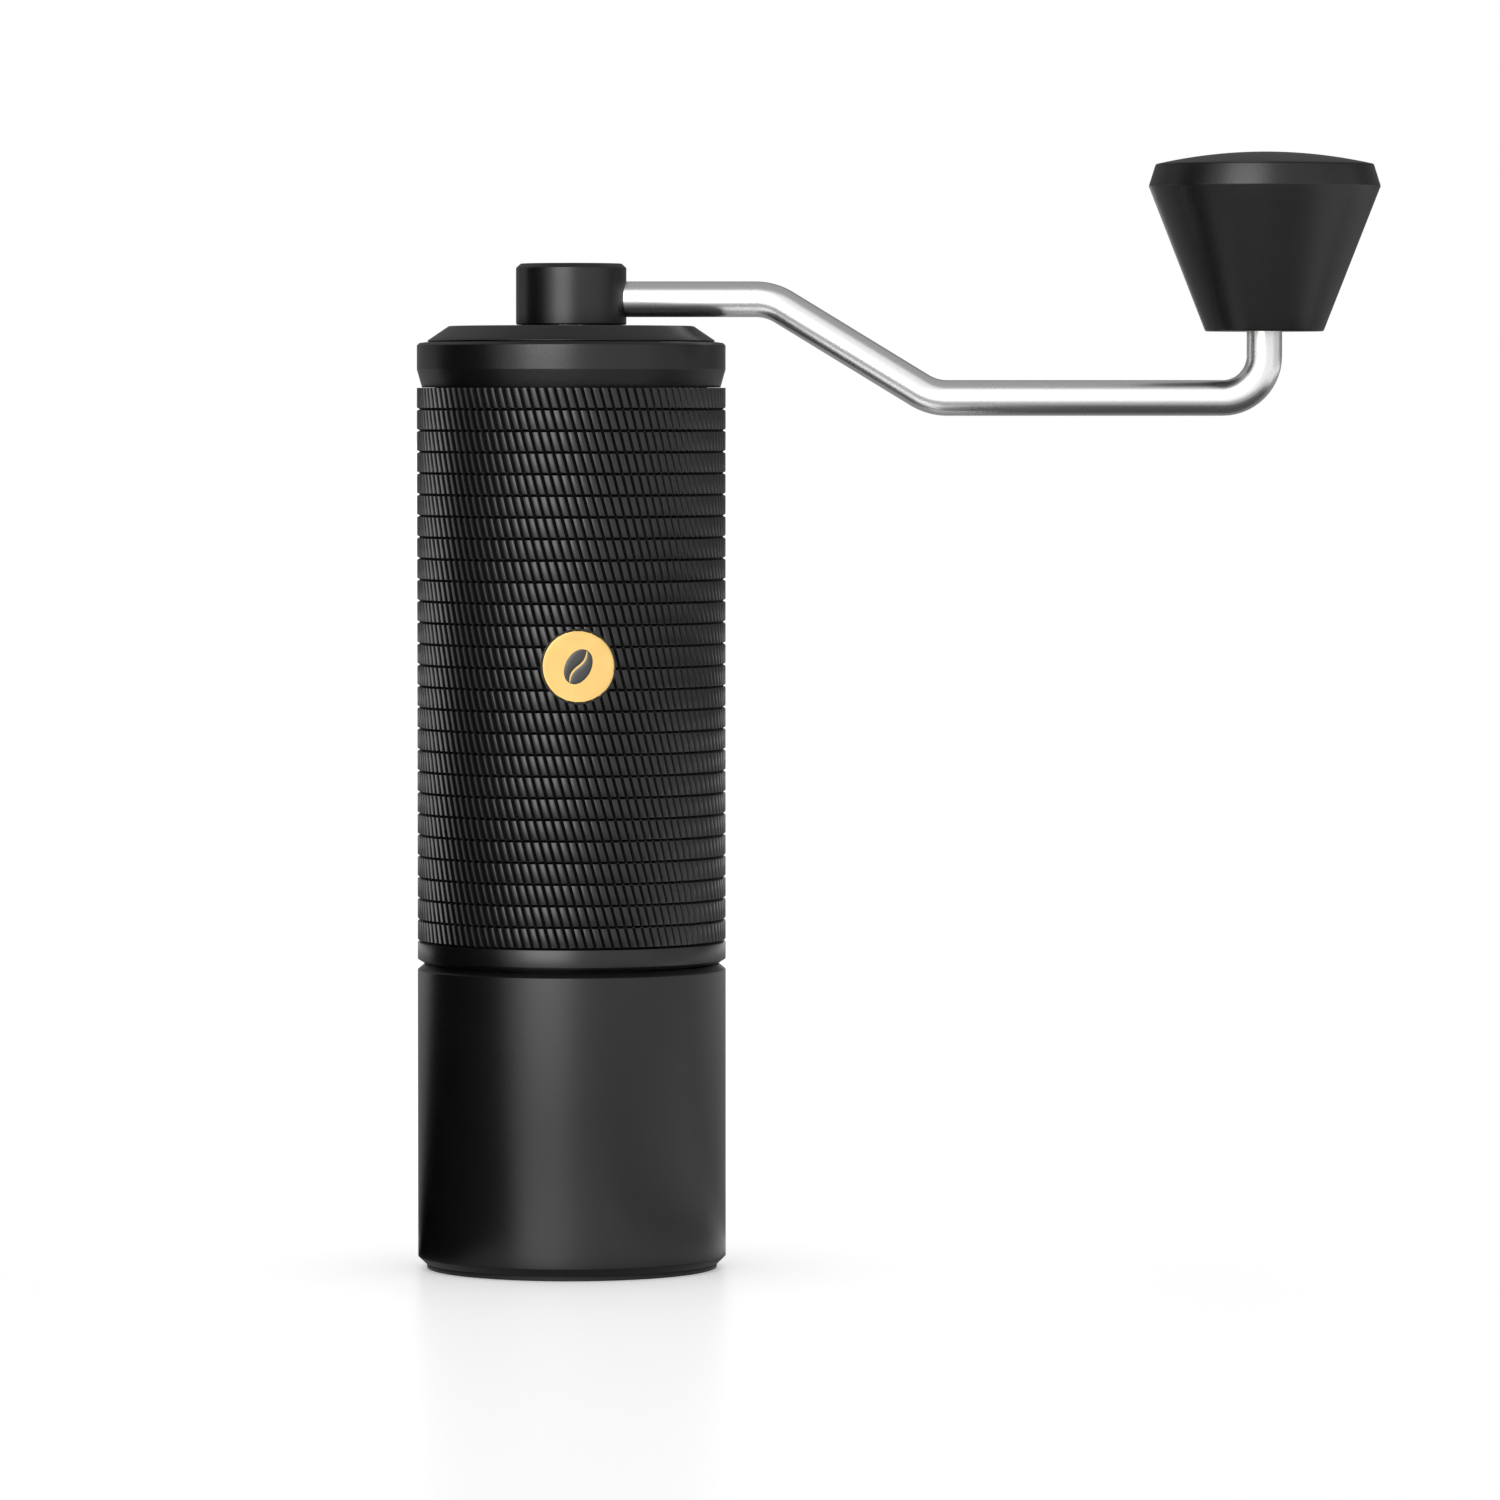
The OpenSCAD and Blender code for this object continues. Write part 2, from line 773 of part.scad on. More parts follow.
module crank_arm() {
    slant_len = rod_drop / sin(slope) - 2 * bend_t;
    stub_z = rod_low_z + elbow_r;
    color(steel)
        difference() {
            union() {
                rod_run(socket_r + 0.1, rod_z, 0, bend_1_x - bend_t - socket_r - 0.1);
                rod_bend(bend_1_x - bend_t, rod_z - bend_r, bend_r, 90 - slope, slope);
                rod_run(bend_1_x + bend_t * cos(slope), rod_z - bend_t * sin(slope), slope,
                    slant_len);
                rod_bend(bend_2_x + bend_t, rod_low_z + bend_r, bend_r, 270 - slope, slope);
                rod_run(bend_2_x + bend_t, rod_low_z, 0,
                    crank_r - elbow_r - bend_2_x - bend_t);
                rod_bend(crank_r - elbow_r, rod_low_z + elbow_r, elbow_r, 270, 90);
                translate([crank_r, 0, stub_z - eps])
                    cylinder(h = stub_top - stub_z + eps, r = rod_r, $fn = 48);
            }
            translate([crank_r, 0, stub_top - 11])
                cylinder(h = 12, r = knob_screw_r + fit_gap, $fn = 48);
        }
}

module knob_washer() {
    color(steel)
        translate([crank_r, 0, 0])
            ring(knob_screw_r + fit_gap, washer_r, stub_top, stub_top + washer_t);
}

module knob_screw() {
    head_z = stub_top + washer_t;
    color(steel)
        translate([crank_r, 0, 0])
            difference() {
                union() {
                    translate([0, 0, stub_top - 10])
                        cylinder(h = head_z - stub_top + 10, r = knob_screw_r);
                    translate([0, 0, head_z])
                        cylinder(h = 1.8, r = 3.2);
                }
                translate([0, 0, head_z + 0.6])
                    cylinder(h = 2, r = 1.4, $fn = 6);
            }
}

// ---- knob ----

module knob_shell() {
    color(black)
        translate([crank_r, 0, 0])
            rotate_extrude()
                polygon([
                    [bushing_r + fit_gap, knob_z], [knob_neck_r - 0.3, knob_z],
                    [knob_neck_r, knob_z + 0.4], [knob_r, shoulder_z],
                    [bevel_r, bevel_top], [cap_plug_r + fit_gap, bevel_top],
                    [cap_plug_r + fit_gap, bevel_top - cap_plug_h],
                    [cavity_r, bevel_top - cap_plug_h], [cavity_r, stub_top - part_gap],
                    [bushing_r + fit_gap, stub_top - part_gap]]);
}

module knob_cap() {
    color(black)
        translate([crank_r, 0, 0])
            union() {
                intersection() {
                    translate([0, 0, knob_top - dome_r])
                        sphere(dome_r, $fn = 180);
                    translate([0, 0, bevel_top])
                        cylinder(h = knob_dome_h + 1, r = bevel_r);
                }
                translate([0, 0, bevel_top - cap_plug_h])
                    cylinder(h = cap_plug_h, r = cap_plug_r);
            }
}

module knob_bushing() {
    color("peru")
        translate([crank_r, 0, 0])
            ring(rod_r + run_gap, bushing_r, knob_z, stub_top - part_gap);
}

catch_cup();
base_pad();
grip_sleeve();
inner_body();
cup_seal();
badge_disc();
badge_bean();
upper_bracket();
bracket_circlip();
upper_bearing_outer();
lower_bracket();
lower_bearing_outer();
ring_burr();
burr_retainer();
retainer_screws();
lid_ring();
lid_cap();
lid_gasket();
drive_shaft();
upper_bearing_inner();
lower_bearing_inner();
shaft_clips();
burr_spring();
upper_bearing_balls();
lower_bearing_balls();
inner_burr();
detent_plate();
adjusting_dial();
detent_balls();
detent_springs();
crank_hub();
hub_socket();
crank_arm();
knob_screw();
knob_washer();
knob_shell();
knob_cap();
knob_bushing();
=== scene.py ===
"""The look of a hand crank coffee grinder, built round its fixed frame.

Lengths are in millimetres until a mesh is made, which turns them into metres.
"""
import math

import bmesh
import bpy
import numpy as np
from mathutils import Matrix, Vector


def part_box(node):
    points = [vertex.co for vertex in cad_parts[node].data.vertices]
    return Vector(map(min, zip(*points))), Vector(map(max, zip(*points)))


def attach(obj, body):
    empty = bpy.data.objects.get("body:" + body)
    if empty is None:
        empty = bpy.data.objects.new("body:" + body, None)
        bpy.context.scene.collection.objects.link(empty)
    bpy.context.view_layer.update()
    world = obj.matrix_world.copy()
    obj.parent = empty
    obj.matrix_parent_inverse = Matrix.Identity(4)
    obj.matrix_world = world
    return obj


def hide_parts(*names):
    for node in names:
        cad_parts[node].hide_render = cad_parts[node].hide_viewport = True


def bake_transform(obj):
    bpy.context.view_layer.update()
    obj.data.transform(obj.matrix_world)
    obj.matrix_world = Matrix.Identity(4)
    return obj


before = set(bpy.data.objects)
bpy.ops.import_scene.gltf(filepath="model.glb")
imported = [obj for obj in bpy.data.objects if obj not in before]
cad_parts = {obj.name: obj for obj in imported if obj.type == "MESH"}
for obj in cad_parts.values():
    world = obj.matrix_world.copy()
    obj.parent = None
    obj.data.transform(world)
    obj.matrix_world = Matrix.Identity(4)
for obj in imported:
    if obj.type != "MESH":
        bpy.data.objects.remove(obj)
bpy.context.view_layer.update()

MM = 0.001
TURN = 2 * math.pi
FIT = 0.03   # radial clearance of parts pushed together
RUN = 0.04   # radial clearance of parts that turn or slide


# ---- places taken from the frame ----

def heights(node):
    """Lowest and highest point of a part of the frame, in millimetres."""
    low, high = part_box(node)
    return low.z / MM, high.z / MM


def reach(node):
    """How far a part of the frame reaches along +X, in millimetres."""
    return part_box(node)[1].x / MM


body_r = reach("grip_sleeve")
pad_low, pad_high = heights("base_pad")
cup_low, cup_high = heights("catch_cup")
sleeve_low, sleeve_high = heights("grip_sleeve")
tube_low, tube_high = heights("inner_body")
ring_low, ring_high = heights("lid_ring")
cap_low, cap_high = heights("lid_cap")
hub_low, hub_high = heights("crank_hub")
shaft_low, shaft_high = heights("drive_shaft")
burr_low, burr_high = heights("ring_burr")
cone_low, cone_high = heights("inner_burr")
dial_low, dial_high = heights("adjusting_dial")
spring_low, spring_high = heights("burr_spring")
knob_low, knob_shoulder = heights("knob_shell")
knob_high = heights("knob_cap")[1]
rod_high = heights("crank_arm")[1]
mouth_r = reach("upper_bracket") + FIT
LID_BAND_H = 7.5
seat_high = ring_high - LID_BAND_H
knob_x = (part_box("knob_shell")[0].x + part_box("knob_shell")[1].x) / 2 / MM


# ---- shapes ----

def rounded(corners, steps=5):
    """Points along an outline. Each corner is (across, up, fillet); a corner with a fillet
    becomes an arc that touches both of its edges, and one without stays a point. The arc's
    points turn evenly about the centre on the corner's bisector."""
    spots = np.array([corner[:2] for corner in corners], float)
    outline = []
    for i, corner in enumerate(corners):
        fillet = corner[2] if len(corner) > 2 else 0
        if not fillet:
            outline.append(spots[i])
            continue
        before = spots[i - 1] - spots[i]
        after = spots[(i + 1) % len(spots)] - spots[i]
        room = 0.48 * min(np.hypot(*before), np.hypot(*after))
        before, after = before / np.hypot(*before), after / np.hypot(*after)
        half = math.acos(np.clip(before @ after, -1, 1)) / 2
        reach_along = min(fillet / math.tan(half), room)
        radius = reach_along * math.tan(half)
        bisector = (before + after) / np.hypot(*(before + after))
        centre = spots[i] + bisector * radius / math.sin(half)
        first = spots[i] + before * reach_along - centre
        last = spots[i] + after * reach_along - centre
        sweep = math.acos(np.clip(first @ last / radius ** 2, -1, 1))
        for t in np.linspace(0, 1, steps + 1):
            arm = first * math.sin((1 - t) * sweep) + last * math.sin(t * sweep)
            outline.append(centre + arm / math.sin(sweep))
    return np.array(outline)


def refined(outline, longest):
    """The same closed outline with its edges cut so that none is longer than the given length.
    An edge that runs along the axis stays whole."""
    closed = np.vstack([outline, outline[:1]])
    pieces = []
    for a, b in zip(closed[:-1], closed[1:]):
        on_axis = a[0] == b[0] == 0
        cuts = 1 if on_axis else max(1, math.ceil(np.hypot(*(b - a)) / longest))
        pieces.append(a + (b - a) * np.arange(cuts)[:, None] / cuts)
    return np.vstack(pieces)


def thinned(points, wall_r, top):
    """Keeps the closely spaced points of an outline only on the wall that carries the thread,
    and elsewhere those where the outline turns."""
    before = points - np.roll(points, 1, axis=0)
    after = np.roll(points, -1, axis=0) - points
    bend = np.abs(before[:, 0] * after[:, 1] - before[:, 1] * after[:, 0]) > 1e-6
    on_wall = (np.abs(points[:, 0] - wall_r) < 0.01) & (points[:, 1] < top)
    return points[bend | on_wall]


def grid_mesh(name, points, wrap_rows, wrap_columns, crisp=35):
    """A surface through a grid of points (rows, columns, 3) in millimetres. Rows and columns
    may close on themselves; points that fall together, as at a pole, become one. Edges
    sharper than crisp degrees stay sharp."""
    rows, columns = points.shape[:2]
    r = np.arange(rows if wrap_rows else rows - 1)[:, None]
    c = np.arange(columns if wrap_columns else columns - 1)[None, :]
    next_r, next_c = (r + 1) % rows, (c + 1) % columns
    quads = np.stack([r * columns + c, r * columns + next_c,
                      next_r * columns + next_c, next_r * columns + c], axis=-1)
    mesh = bpy.data.meshes.new(name)
    mesh.from_pydata((points.reshape(-1, 3) * MM).tolist(), [], quads.reshape(-1, 4).tolist())
    work = bmesh.new()
    work.from_mesh(mesh)
    bmesh.ops.remove_doubles(work, verts=work.verts, dist=1e-7)
    bare = [edge for edge in work.edges if not edge.link_faces]
    bmesh.ops.delete(work, geom=bare, context="EDGES")
    work.to_mesh(mesh)
    work.free()
    return show(name, mesh, crisp)


def show(name, mesh, crisp):
    """Puts a mesh in the scene as an object at the origin."""
    mesh.shade_smooth()
    mesh.set_sharp_from_angle(angle=math.radians(crisp))
    piece = bpy.data.objects.new(name, mesh)
    bpy.context.scene.collection.objects.link(piece)
    return piece


def join(name, pieces, crisp):
    """One object that holds copies of several pieces' surfaces."""
    work = bmesh.new()
    for piece in pieces:
        work.from_mesh(piece.data)
        bpy.data.objects.remove(piece)
    mesh = bpy.data.meshes.new(name)
    work.to_mesh(mesh)
    work.free()
    return show(name, mesh, crisp)


def lathe(name, outline, axis_x=0, columns=240, relief=None, crisp=35):
    """A turned shape: outline point (r, z) at angle a is (r cos a, r sin a, z) about the
    upright line at axis_x. The outline runs anticlockwise, up the outer side. relief(r, z, a)
    gives the radius to use instead of r, for threads, scallops and teeth."""
    r, z = outline[:, 0][:, None], outline[:, 1][:, None]
    a = np.arange(columns)[None, :] * TURN / columns
    radius = r + 0 * a if relief is None else relief(r + 0 * a, z + 0 * a, a + 0 * r)
    points = np.stack([radius * np.cos(a) + axis_x, radius * np.sin(a), z + 0 * a], axis=-1)
    return grid_mesh(name, points, True, True, crisp)


def swept(name, path, radii, sides):
    """A round tube along a path: each path point carries a circle of its own radius, square to
    the path. The circle's first arm is carried on from point to point, so it doesn't twist."""
    path = np.array(path, float)
    along = np.gradient(path, axis=0)
    along /= np.linalg.norm(along, axis=1)[:, None]
    arm = np.array([0.0, 1.0, 0.0]) if abs(along[0][1]) < 0.9 else np.array([1.0, 0.0, 0.0])
    a = np.arange(sides) * TURN / sides
    rings = []
    for spot, forward, radius in zip(path, along, radii):
        arm = arm - forward * (arm @ forward)
        arm /= np.linalg.norm(arm)
        side = np.cross(forward, arm)
        rings.append(spot + radius * (np.cos(a)[:, None] * arm + np.sin(a)[:, None] * side))
    return grid_mesh(name, np.array(rings), False, True)


def cut(piece, tool, crisp=35):
    """Takes the tool's shape out of the piece, and removes the tool."""
    change = piece.modifiers.new("cut", "BOOLEAN")
    change.operation, change.solver, change.object = "DIFFERENCE", "MANIFOLD", tool
    bpy.context.view_layer.update()
    carved = piece.evaluated_get(bpy.context.evaluated_depsgraph_get())
    mesh = bpy.data.meshes.new_from_object(carved)
    piece.modifiers.clear()
    piece.data = mesh
    mesh.shade_smooth()
    mesh.set_sharp_from_angle(angle=math.radians(crisp))
    bpy.data.objects.remove(tool)
    return piece


def placed(piece, matrix):
    """Moves a piece's mesh, and leaves its object at the origin."""
    piece.data.transform(matrix)
    return piece


def wave(x):
    """A triangle wave: 0 at whole numbers, 1 halfway between them."""
    return 1 - np.abs(2 * (x - np.floor(x)) - 1)


# ---- finishes ----

class Wire:
    """One output of a shader node. Sums and products of wires add the Math nodes for them."""

    def __init__(self, finish, socket):
        self.finish, self.socket = finish, socket

    def maths(self, operation, *values):
        return self.finish.node("Math", {"operation": operation}, *values)

    def __add__(self, other):
        return self.maths("ADD", self, other)

    def __mul__(self, other):
        return self.maths("MULTIPLY", self, other)

    __radd__ = __add__
    __rmul__ = __mul__


class Finish:
    """A material: one Principled shader and the nodes that vary its sockets."""

    def __init__(self, name, **fixed):
        self.material = bpy.data.materials.new(name)
        self.material.use_nodes = True
        self.tree = self.material.node_tree
        self.shader = self.tree.nodes["Principled BSDF"]
        for socket, value in fixed.items():
            self.shader.inputs[socket.replace("_", " ")].default_value = value

    def node(self, kind, settings=None, *values, out=0, **named):
        """Adds a node: its settings first, then the values or wires of its sockets."""
        added = self.tree.nodes.new("ShaderNode" + kind)
        for key, value in (settings or {}).items():
            setattr(added, key, value)
        for i, value in enumerate(values):
            self.feed(added.inputs[i], value)
        for key, value in named.items():
            self.feed(added.inputs[key.replace("_", " ")], value)
        return Wire(self, added.outputs[out])

    def feed(self, socket, value):
        if isinstance(value, Wire):
            self.tree.links.new(value.socket, socket)
        else:
            socket.default_value = value

    def place(self, **mapping):
        """Object coordinates, moved, turned or stretched by a Mapping node if asked."""
        spot = self.node("TexCoord", out="Object")
        return self.node("Mapping", None, Vector=spot, **mapping) if mapping else spot

    def noise(self, spot, scale, detail=2.0, rough=0.5):
        return self.node("TexNoise", None, Vector=spot, Scale=scale, Detail=detail,
                         Roughness=rough)

    def blend(self, share, first, second):
        """A colour between two, by a share from 0 to 1."""
        mix = self.tree.nodes.new("ShaderNodeMix")
        mix.data_type = "RGBA"
        self.feed(mix.inputs[0], share)
        self.feed(mix.inputs[6], first)
        self.feed(mix.inputs[7], second)
        return Wire(self, mix.outputs[2])

    def shade(self, **varied):
        for socket, wire in varied.items():
            self.feed(self.shader.inputs[socket.replace("_", " ")], wire)

    def bump(self, height, depth):
        """Raises the surface by height times depth, in millimetres."""
        bumped = self.node("Bump", None, Strength=1.0, Distance=depth * MM, Height=height)
        self.shade(Normal=bumped)


def grey(value):
    return (value, value, value, 1.0)


def blasted_black(name, base, rough, grain=0.012):
    """Bead-blasted, black anodised metal: a fine even grain and a faint cloudiness."""
    f = Finish(name, Metallic=0.0, IOR=1.5)
    spot = f.place()
    fine = f.noise(spot, 6500.0, 3.0)
    cloud = f.noise(spot, 90.0, 4.0, 0.6)
    f.shade(Base_Color=f.blend(cloud, grey(base * 0.7), grey(base * 1.3)),
            Roughness=rough - 0.05 + cloud * 0.06 + fine * 0.05)
    f.bump(fine, grain)
    return f.material


def moulded_black(name, base, rough):
    """Fine spark-eroded plastic: a soft, slightly larger grain than blasted metal."""
    f = Finish(name, IOR=1.47)
    spot = f.place()
    grain = f.noise(spot, 3200.0, 2.0)
    cloud = f.noise(spot, 60.0, 3.0)
    f.shade(Base_Color=f.blend(cloud, grey(base * 0.75), grey(base * 1.25)),
            Roughness=rough - 0.06 + grain * 0.08 + cloud * 0.05)
    f.bump(grain, 0.016)
    return f.material


def satin_steel(name, base, rough, stretch=(1.0, 1.0, 1.0), depth=0.003):
    """Satin metal: fine marks drawn out along the grain, over a cloudy polish."""
    f = Finish(name, Metallic=1.0)
    marks = f.noise(f.place(Scale=stretch), 2600.0, 4.0, 0.6)
    cloud = f.noise(f.place(), 140.0, 3.0)
    f.shade(Base_Color=f.blend(marks, (base * 0.92, base * 0.92, base * 0.93, 1),
                               (base, base, base * 1.005, 1)),
            Roughness=rough - 0.04 + marks * 0.07 + cloud * 0.04)
    f.bump(marks, depth)
    return f.material


def polished_steel(name):
    """Ground and polished bearing steel, with the faintest turning marks."""
    f = Finish(name, Metallic=1.0)
    marks = f.noise(f.place(Scale=(1.0, 1.0, 8.0)), 1800.0, 3.0)
    f.shade(Base_Color=f.blend(marks, grey(0.70), grey(0.80)), Roughness=0.10 + marks * 0.10)
    f.bump(marks, 0.001)
    return f.material


def machined_steel(name):
    """Hardened tool steel as it comes from the cutter: feed marks and a warm grey."""
    f = Finish(name, Metallic=1.0)
    feed = f.noise(f.place(Scale=(1.0, 1.0, 12.0)), 900.0, 3.0, 0.55)
    cloud = f.noise(f.place(), 220.0, 4.0, 0.6)
    f.shade(Base_Color=f.blend(cloud, (0.33, 0.325, 0.32, 1), (0.50, 0.50, 0.505, 1)),
            Roughness=0.26 + feed * 0.14)
    f.bump(feed, 0.006)
    return f.material


def champagne_gold(name, centre):
    """Satin gold, faintly cloudy, with fine rings turned round the badge's own centre."""
    f = Finish(name, Metallic=1.0)
    spot = f.place(Location=tuple(-c for c in centre))
    rings = f.noise(f.node("VectorMath", {"operation": "LENGTH"}, spot, out="Value"), 9000.0, 1.0)
    cloud = f.noise(spot, 300.0, 3.0)
    f.shade(Base_Color=f.blend(cloud, (0.74, 0.485, 0.165, 1), (0.80, 0.54, 0.195, 1)),
            Roughness=0.18 + cloud * 0.08)
    f.bump(rings, 0.0015)
    return f.material


def dark_enamel(name):
    """Fired enamel: smooth and glossy, with a slight orange-peel."""
    f = Finish(name, IOR=1.5, Coat_Weight=0.2, Coat_Roughness=0.2)
    peel = f.noise(f.place(), 1500.0, 1.0)
    f.shade(Base_Color=f.blend(peel, grey(0.018), grey(0.026)), Roughness=0.34 + peel * 0.06)
    f.bump(peel, 0.004)
    return f.material


def soft_rubber(name, low, high, rough):
    """Moulded rubber or silicone, dull and finely pitted."""
    f = Finish(name, IOR=1.42)
    pits = f.noise(f.place(), 2400.0, 4.0, 0.65)
    cloud = f.noise(f.place(), 120.0, 2.0)
    f.shade(Base_Color=f.blend(cloud, low, high), Roughness=rough - 0.06 + pits * 0.12)
    f.bump(pits, 0.02)
    return f.material


def sintered_bronze(name):
    """Oil-filled bronze bush: warm, speckled with pores."""
    f = Finish(name, Metallic=1.0)
    pores = f.noise(f.place(), 3800.0, 3.0, 0.7)
    f.shade(Base_Color=f.blend(pores, (0.38, 0.23, 0.10, 1), (0.72, 0.50, 0.27, 1)),
            Roughness=0.34 + pores * 0.16)
    f.bump(pores, 0.010)
    return f.material


# ---- cup ----

PLUG_R, PLUG_H = 18, 0.8   # the pad's plug and its seat in the cup
THREAD_PITCH = 1.5
THREAD_H = 0.6
CUP_THREAD_LOW = tube_low + 1.1
CUP_THREAD_HIGH = tube_low + 7.2


def screw_thread(low, high, height, pitch=THREAD_PITCH):
    """Relief that stands a helical ridge of trapezoid section on the wall between two heights:
    the ridge's height is a triangle wave of (z - pitch * a / turn), enlarged and clipped to
    flatten its crest and root, and it fades in and out over one pitch at each end."""
    def relief(r, z, a):
        ridge = np.clip(2.2 * wave((z - pitch * a / TURN) / pitch) - 0.6, 0, 1)
        fade = np.clip((z - low) / pitch, 0, 1) * np.clip((high - z) / pitch, 0, 1)
        return r + height * ridge * fade
    return relief


def make_cup():
    """The catch cup: a turned outline with a chamfer at the foot, a bevelled rim and a groove
    that winds round inside the mouth for the body's thread."""
    wall_r = body_r - 3.0
    entry_r, entry_low = wall_r + THREAD_H, cup_high - 2.3
    floor_z = cup_low + 2.7
    seat_r, seat_z = PLUG_R + FIT, cup_low + PLUG_H + FIT
    outline = rounded([
        (0, seat_z), (seat_r, seat_z), (seat_r, cup_low),
        (body_r - 1.2, cup_low, 0.08), (body_r, cup_low + 1.15, 0.25),
        (body_r, cup_high - 0.9, 0.12), (body_r - 1.1, cup_high, 0.1),
        (entry_r + 0.35, cup_high, 0.1), (entry_r, cup_high - 0.4, 0.2),
        (entry_r, entry_low), (wall_r, entry_low - 0.5),
        (wall_r, floor_z, 3.0), (0, floor_z)])
    groove = screw_thread(CUP_THREAD_LOW, CUP_THREAD_HIGH, THREAD_H)
    def relief(r, z, a):
        inner_wall = (np.abs(r - wall_r) < 0.01) & (z > floor_z + 4)
        return np.where(inner_wall, groove(r, z, a), r)
    return lathe("cup", thinned(refined(outline, 0.3), wall_r, cup_high - 1), relief=relief)


def make_pad():
    """The rubber base pad: a disc with a rounded foot, a shadow groove under the cup and
    shallow rings pressed underneath."""
    pad_r = body_r - 1.5
    groove_z, groove_r = pad_high - 0.42, pad_r - 3.6
    plug_top = pad_high + PLUG_H - 0.02
    outline = rounded([
        (0, pad_low), (pad_r, pad_low, 0.15), (pad_r, groove_z, 0.08), (groove_r, groove_z),
        (groove_r, pad_high), (PLUG_R, pad_high), (PLUG_R, plug_top), (0, plug_top)])
    ring_pitch, ring_depth = 2.2, 0.25
    points = refined(outline, 0.55)
    under = (points[:, 1] < pad_low + 0.01) & (points[:, 0] > 6) & (points[:, 0] < pad_r - 3)
    points[:, 1] += under * ring_depth * wave(points[:, 0] / ring_pitch)
    return lathe("foot_pad", points)


# ---- body ----

RING_COUNT = 26
SLIT_COUNT = 108
SLIT_LEAN = math.radians(15)
BADGE_TURN = math.radians(3.7)
badge_mid = (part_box("badge_disc")[0].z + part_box("badge_disc")[1].z) / 2 / MM
badge_r = (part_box("badge_disc")[1].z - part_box("badge_disc")[0].z) / 2 / MM
badge_face = body_r - 0.4
BADGE_T = 0.9
BADGE_SPOT = (Matrix.Rotation(BADGE_TURN, 4, "Z")
              @ Matrix.Translation(Vector((0, -badge_face, badge_mid)) * MM)
              @ Matrix.Rotation(math.pi / 2, 4, "X"))


def make_grip():
    """The knurled sleeve. Its outer wall is a grid whose rows follow the rings and whose columns
    lean along the slits: each ring has rows at the groove's bottom, its lip and the flat, and
    each slit has columns at its bottom, its lips and the flat between. A point's depth is the
    larger of its row's and its column's, so flat bars stand between crossing V grooves."""
    wall_r, lip_r = body_r - 2.0, body_r - 2.8
    knurl_low = sleeve_low + 3.8
    ring_pitch = (sleeve_high - knurl_low) / RING_COUNT
    slit_half, slit_depth = 0.36, 0.46
    ring_half, ring_depth = 0.30, 0.50
    soft = 0.07
    lip_depth = soft * 0.8
    slit_pitch = TURN * body_r / SLIT_COUNT
    across = np.array([0, slit_half - soft, slit_half + soft,
                       slit_pitch - slit_half - soft, slit_pitch - slit_half + soft])
    across_depth = np.array([slit_depth, lip_depth, 0, 0, lip_depth])
    up = np.array([0, ring_half - soft, ring_half + soft,
                   ring_pitch - ring_half - soft, ring_pitch - ring_half + soft])
    up_depth = np.array([ring_depth, lip_depth, 0, 0, lip_depth])
    z = (knurl_low + np.arange(RING_COUNT)[:, None] * ring_pitch + up[None, :]).ravel()
    row_depth = np.tile(up_depth, RING_COUNT)
    angle = ((np.arange(SLIT_COUNT)[:, None] * slit_pitch + across[None, :]) / body_r).ravel()
    column_depth = np.tile(across_depth, SLIT_COUNT)
    depth = np.maximum(row_depth[:, None], column_depth[None, :])
    knurl_r = body_r - depth

    foot = rounded([(wall_r, sleeve_low), (body_r - 1.15, sleeve_low, 0.08),
                    (body_r, sleeve_low + 0.7, 0.12), (body_r, knurl_low - ring_half - soft),
                    (body_r - lip_depth, knurl_low - ring_half + soft)])
    head = rounded([(body_r, sleeve_high - 0.5), (body_r, sleeve_high, 0.1),
                    (lip_r, sleeve_high), (lip_r, tube_high), (wall_r, tube_high)])[1:]
    keep_rows = z < sleeve_high - 0.3
    z, knurl_r = z[keep_rows], knurl_r[keep_rows]
    head_r = head[:, :1] - (head[:, :1] > body_r - 1) * column_depth
    all_z = np.concatenate([foot[:, 1], z, head[:, 1]])
    all_r = np.vstack([foot[:, :1] + 0 * angle, knurl_r, head_r])
    lean = -(all_z - knurl_low) * math.tan(SLIT_LEAN) / body_r
    a = angle[None, :] + lean[:, None]
    points = np.stack([all_r * np.cos(a), all_r * np.sin(a), all_z[:, None] + 0 * a], axis=-1)
    grip = grid_mesh("knurled_grip", points, True, True, 28)
    pocket_r, clear_of_grip = badge_r + 0.26, 2
    pocket = lathe("pocket_tool", rounded([(0, -BADGE_T), (pocket_r, -BADGE_T),
                                           (pocket_r, clear_of_grip), (0, clear_of_grip)]),
                   columns=96)
    return cut(grip, placed(pocket, BADGE_SPOT), 28)


def make_badge():
    """The badge: a turned disc with a bevelled edge and a faint crown."""
    outline = rounded([(0, -BADGE_T), (badge_r, -BADGE_T), (badge_r, -0.1, 0.05),
                       (badge_r - 0.14, 0, 0.06), (0, 0.02)])
    return placed(lathe("badge_plate", refined(outline, 0.5), columns=160), BADGE_SPOT)


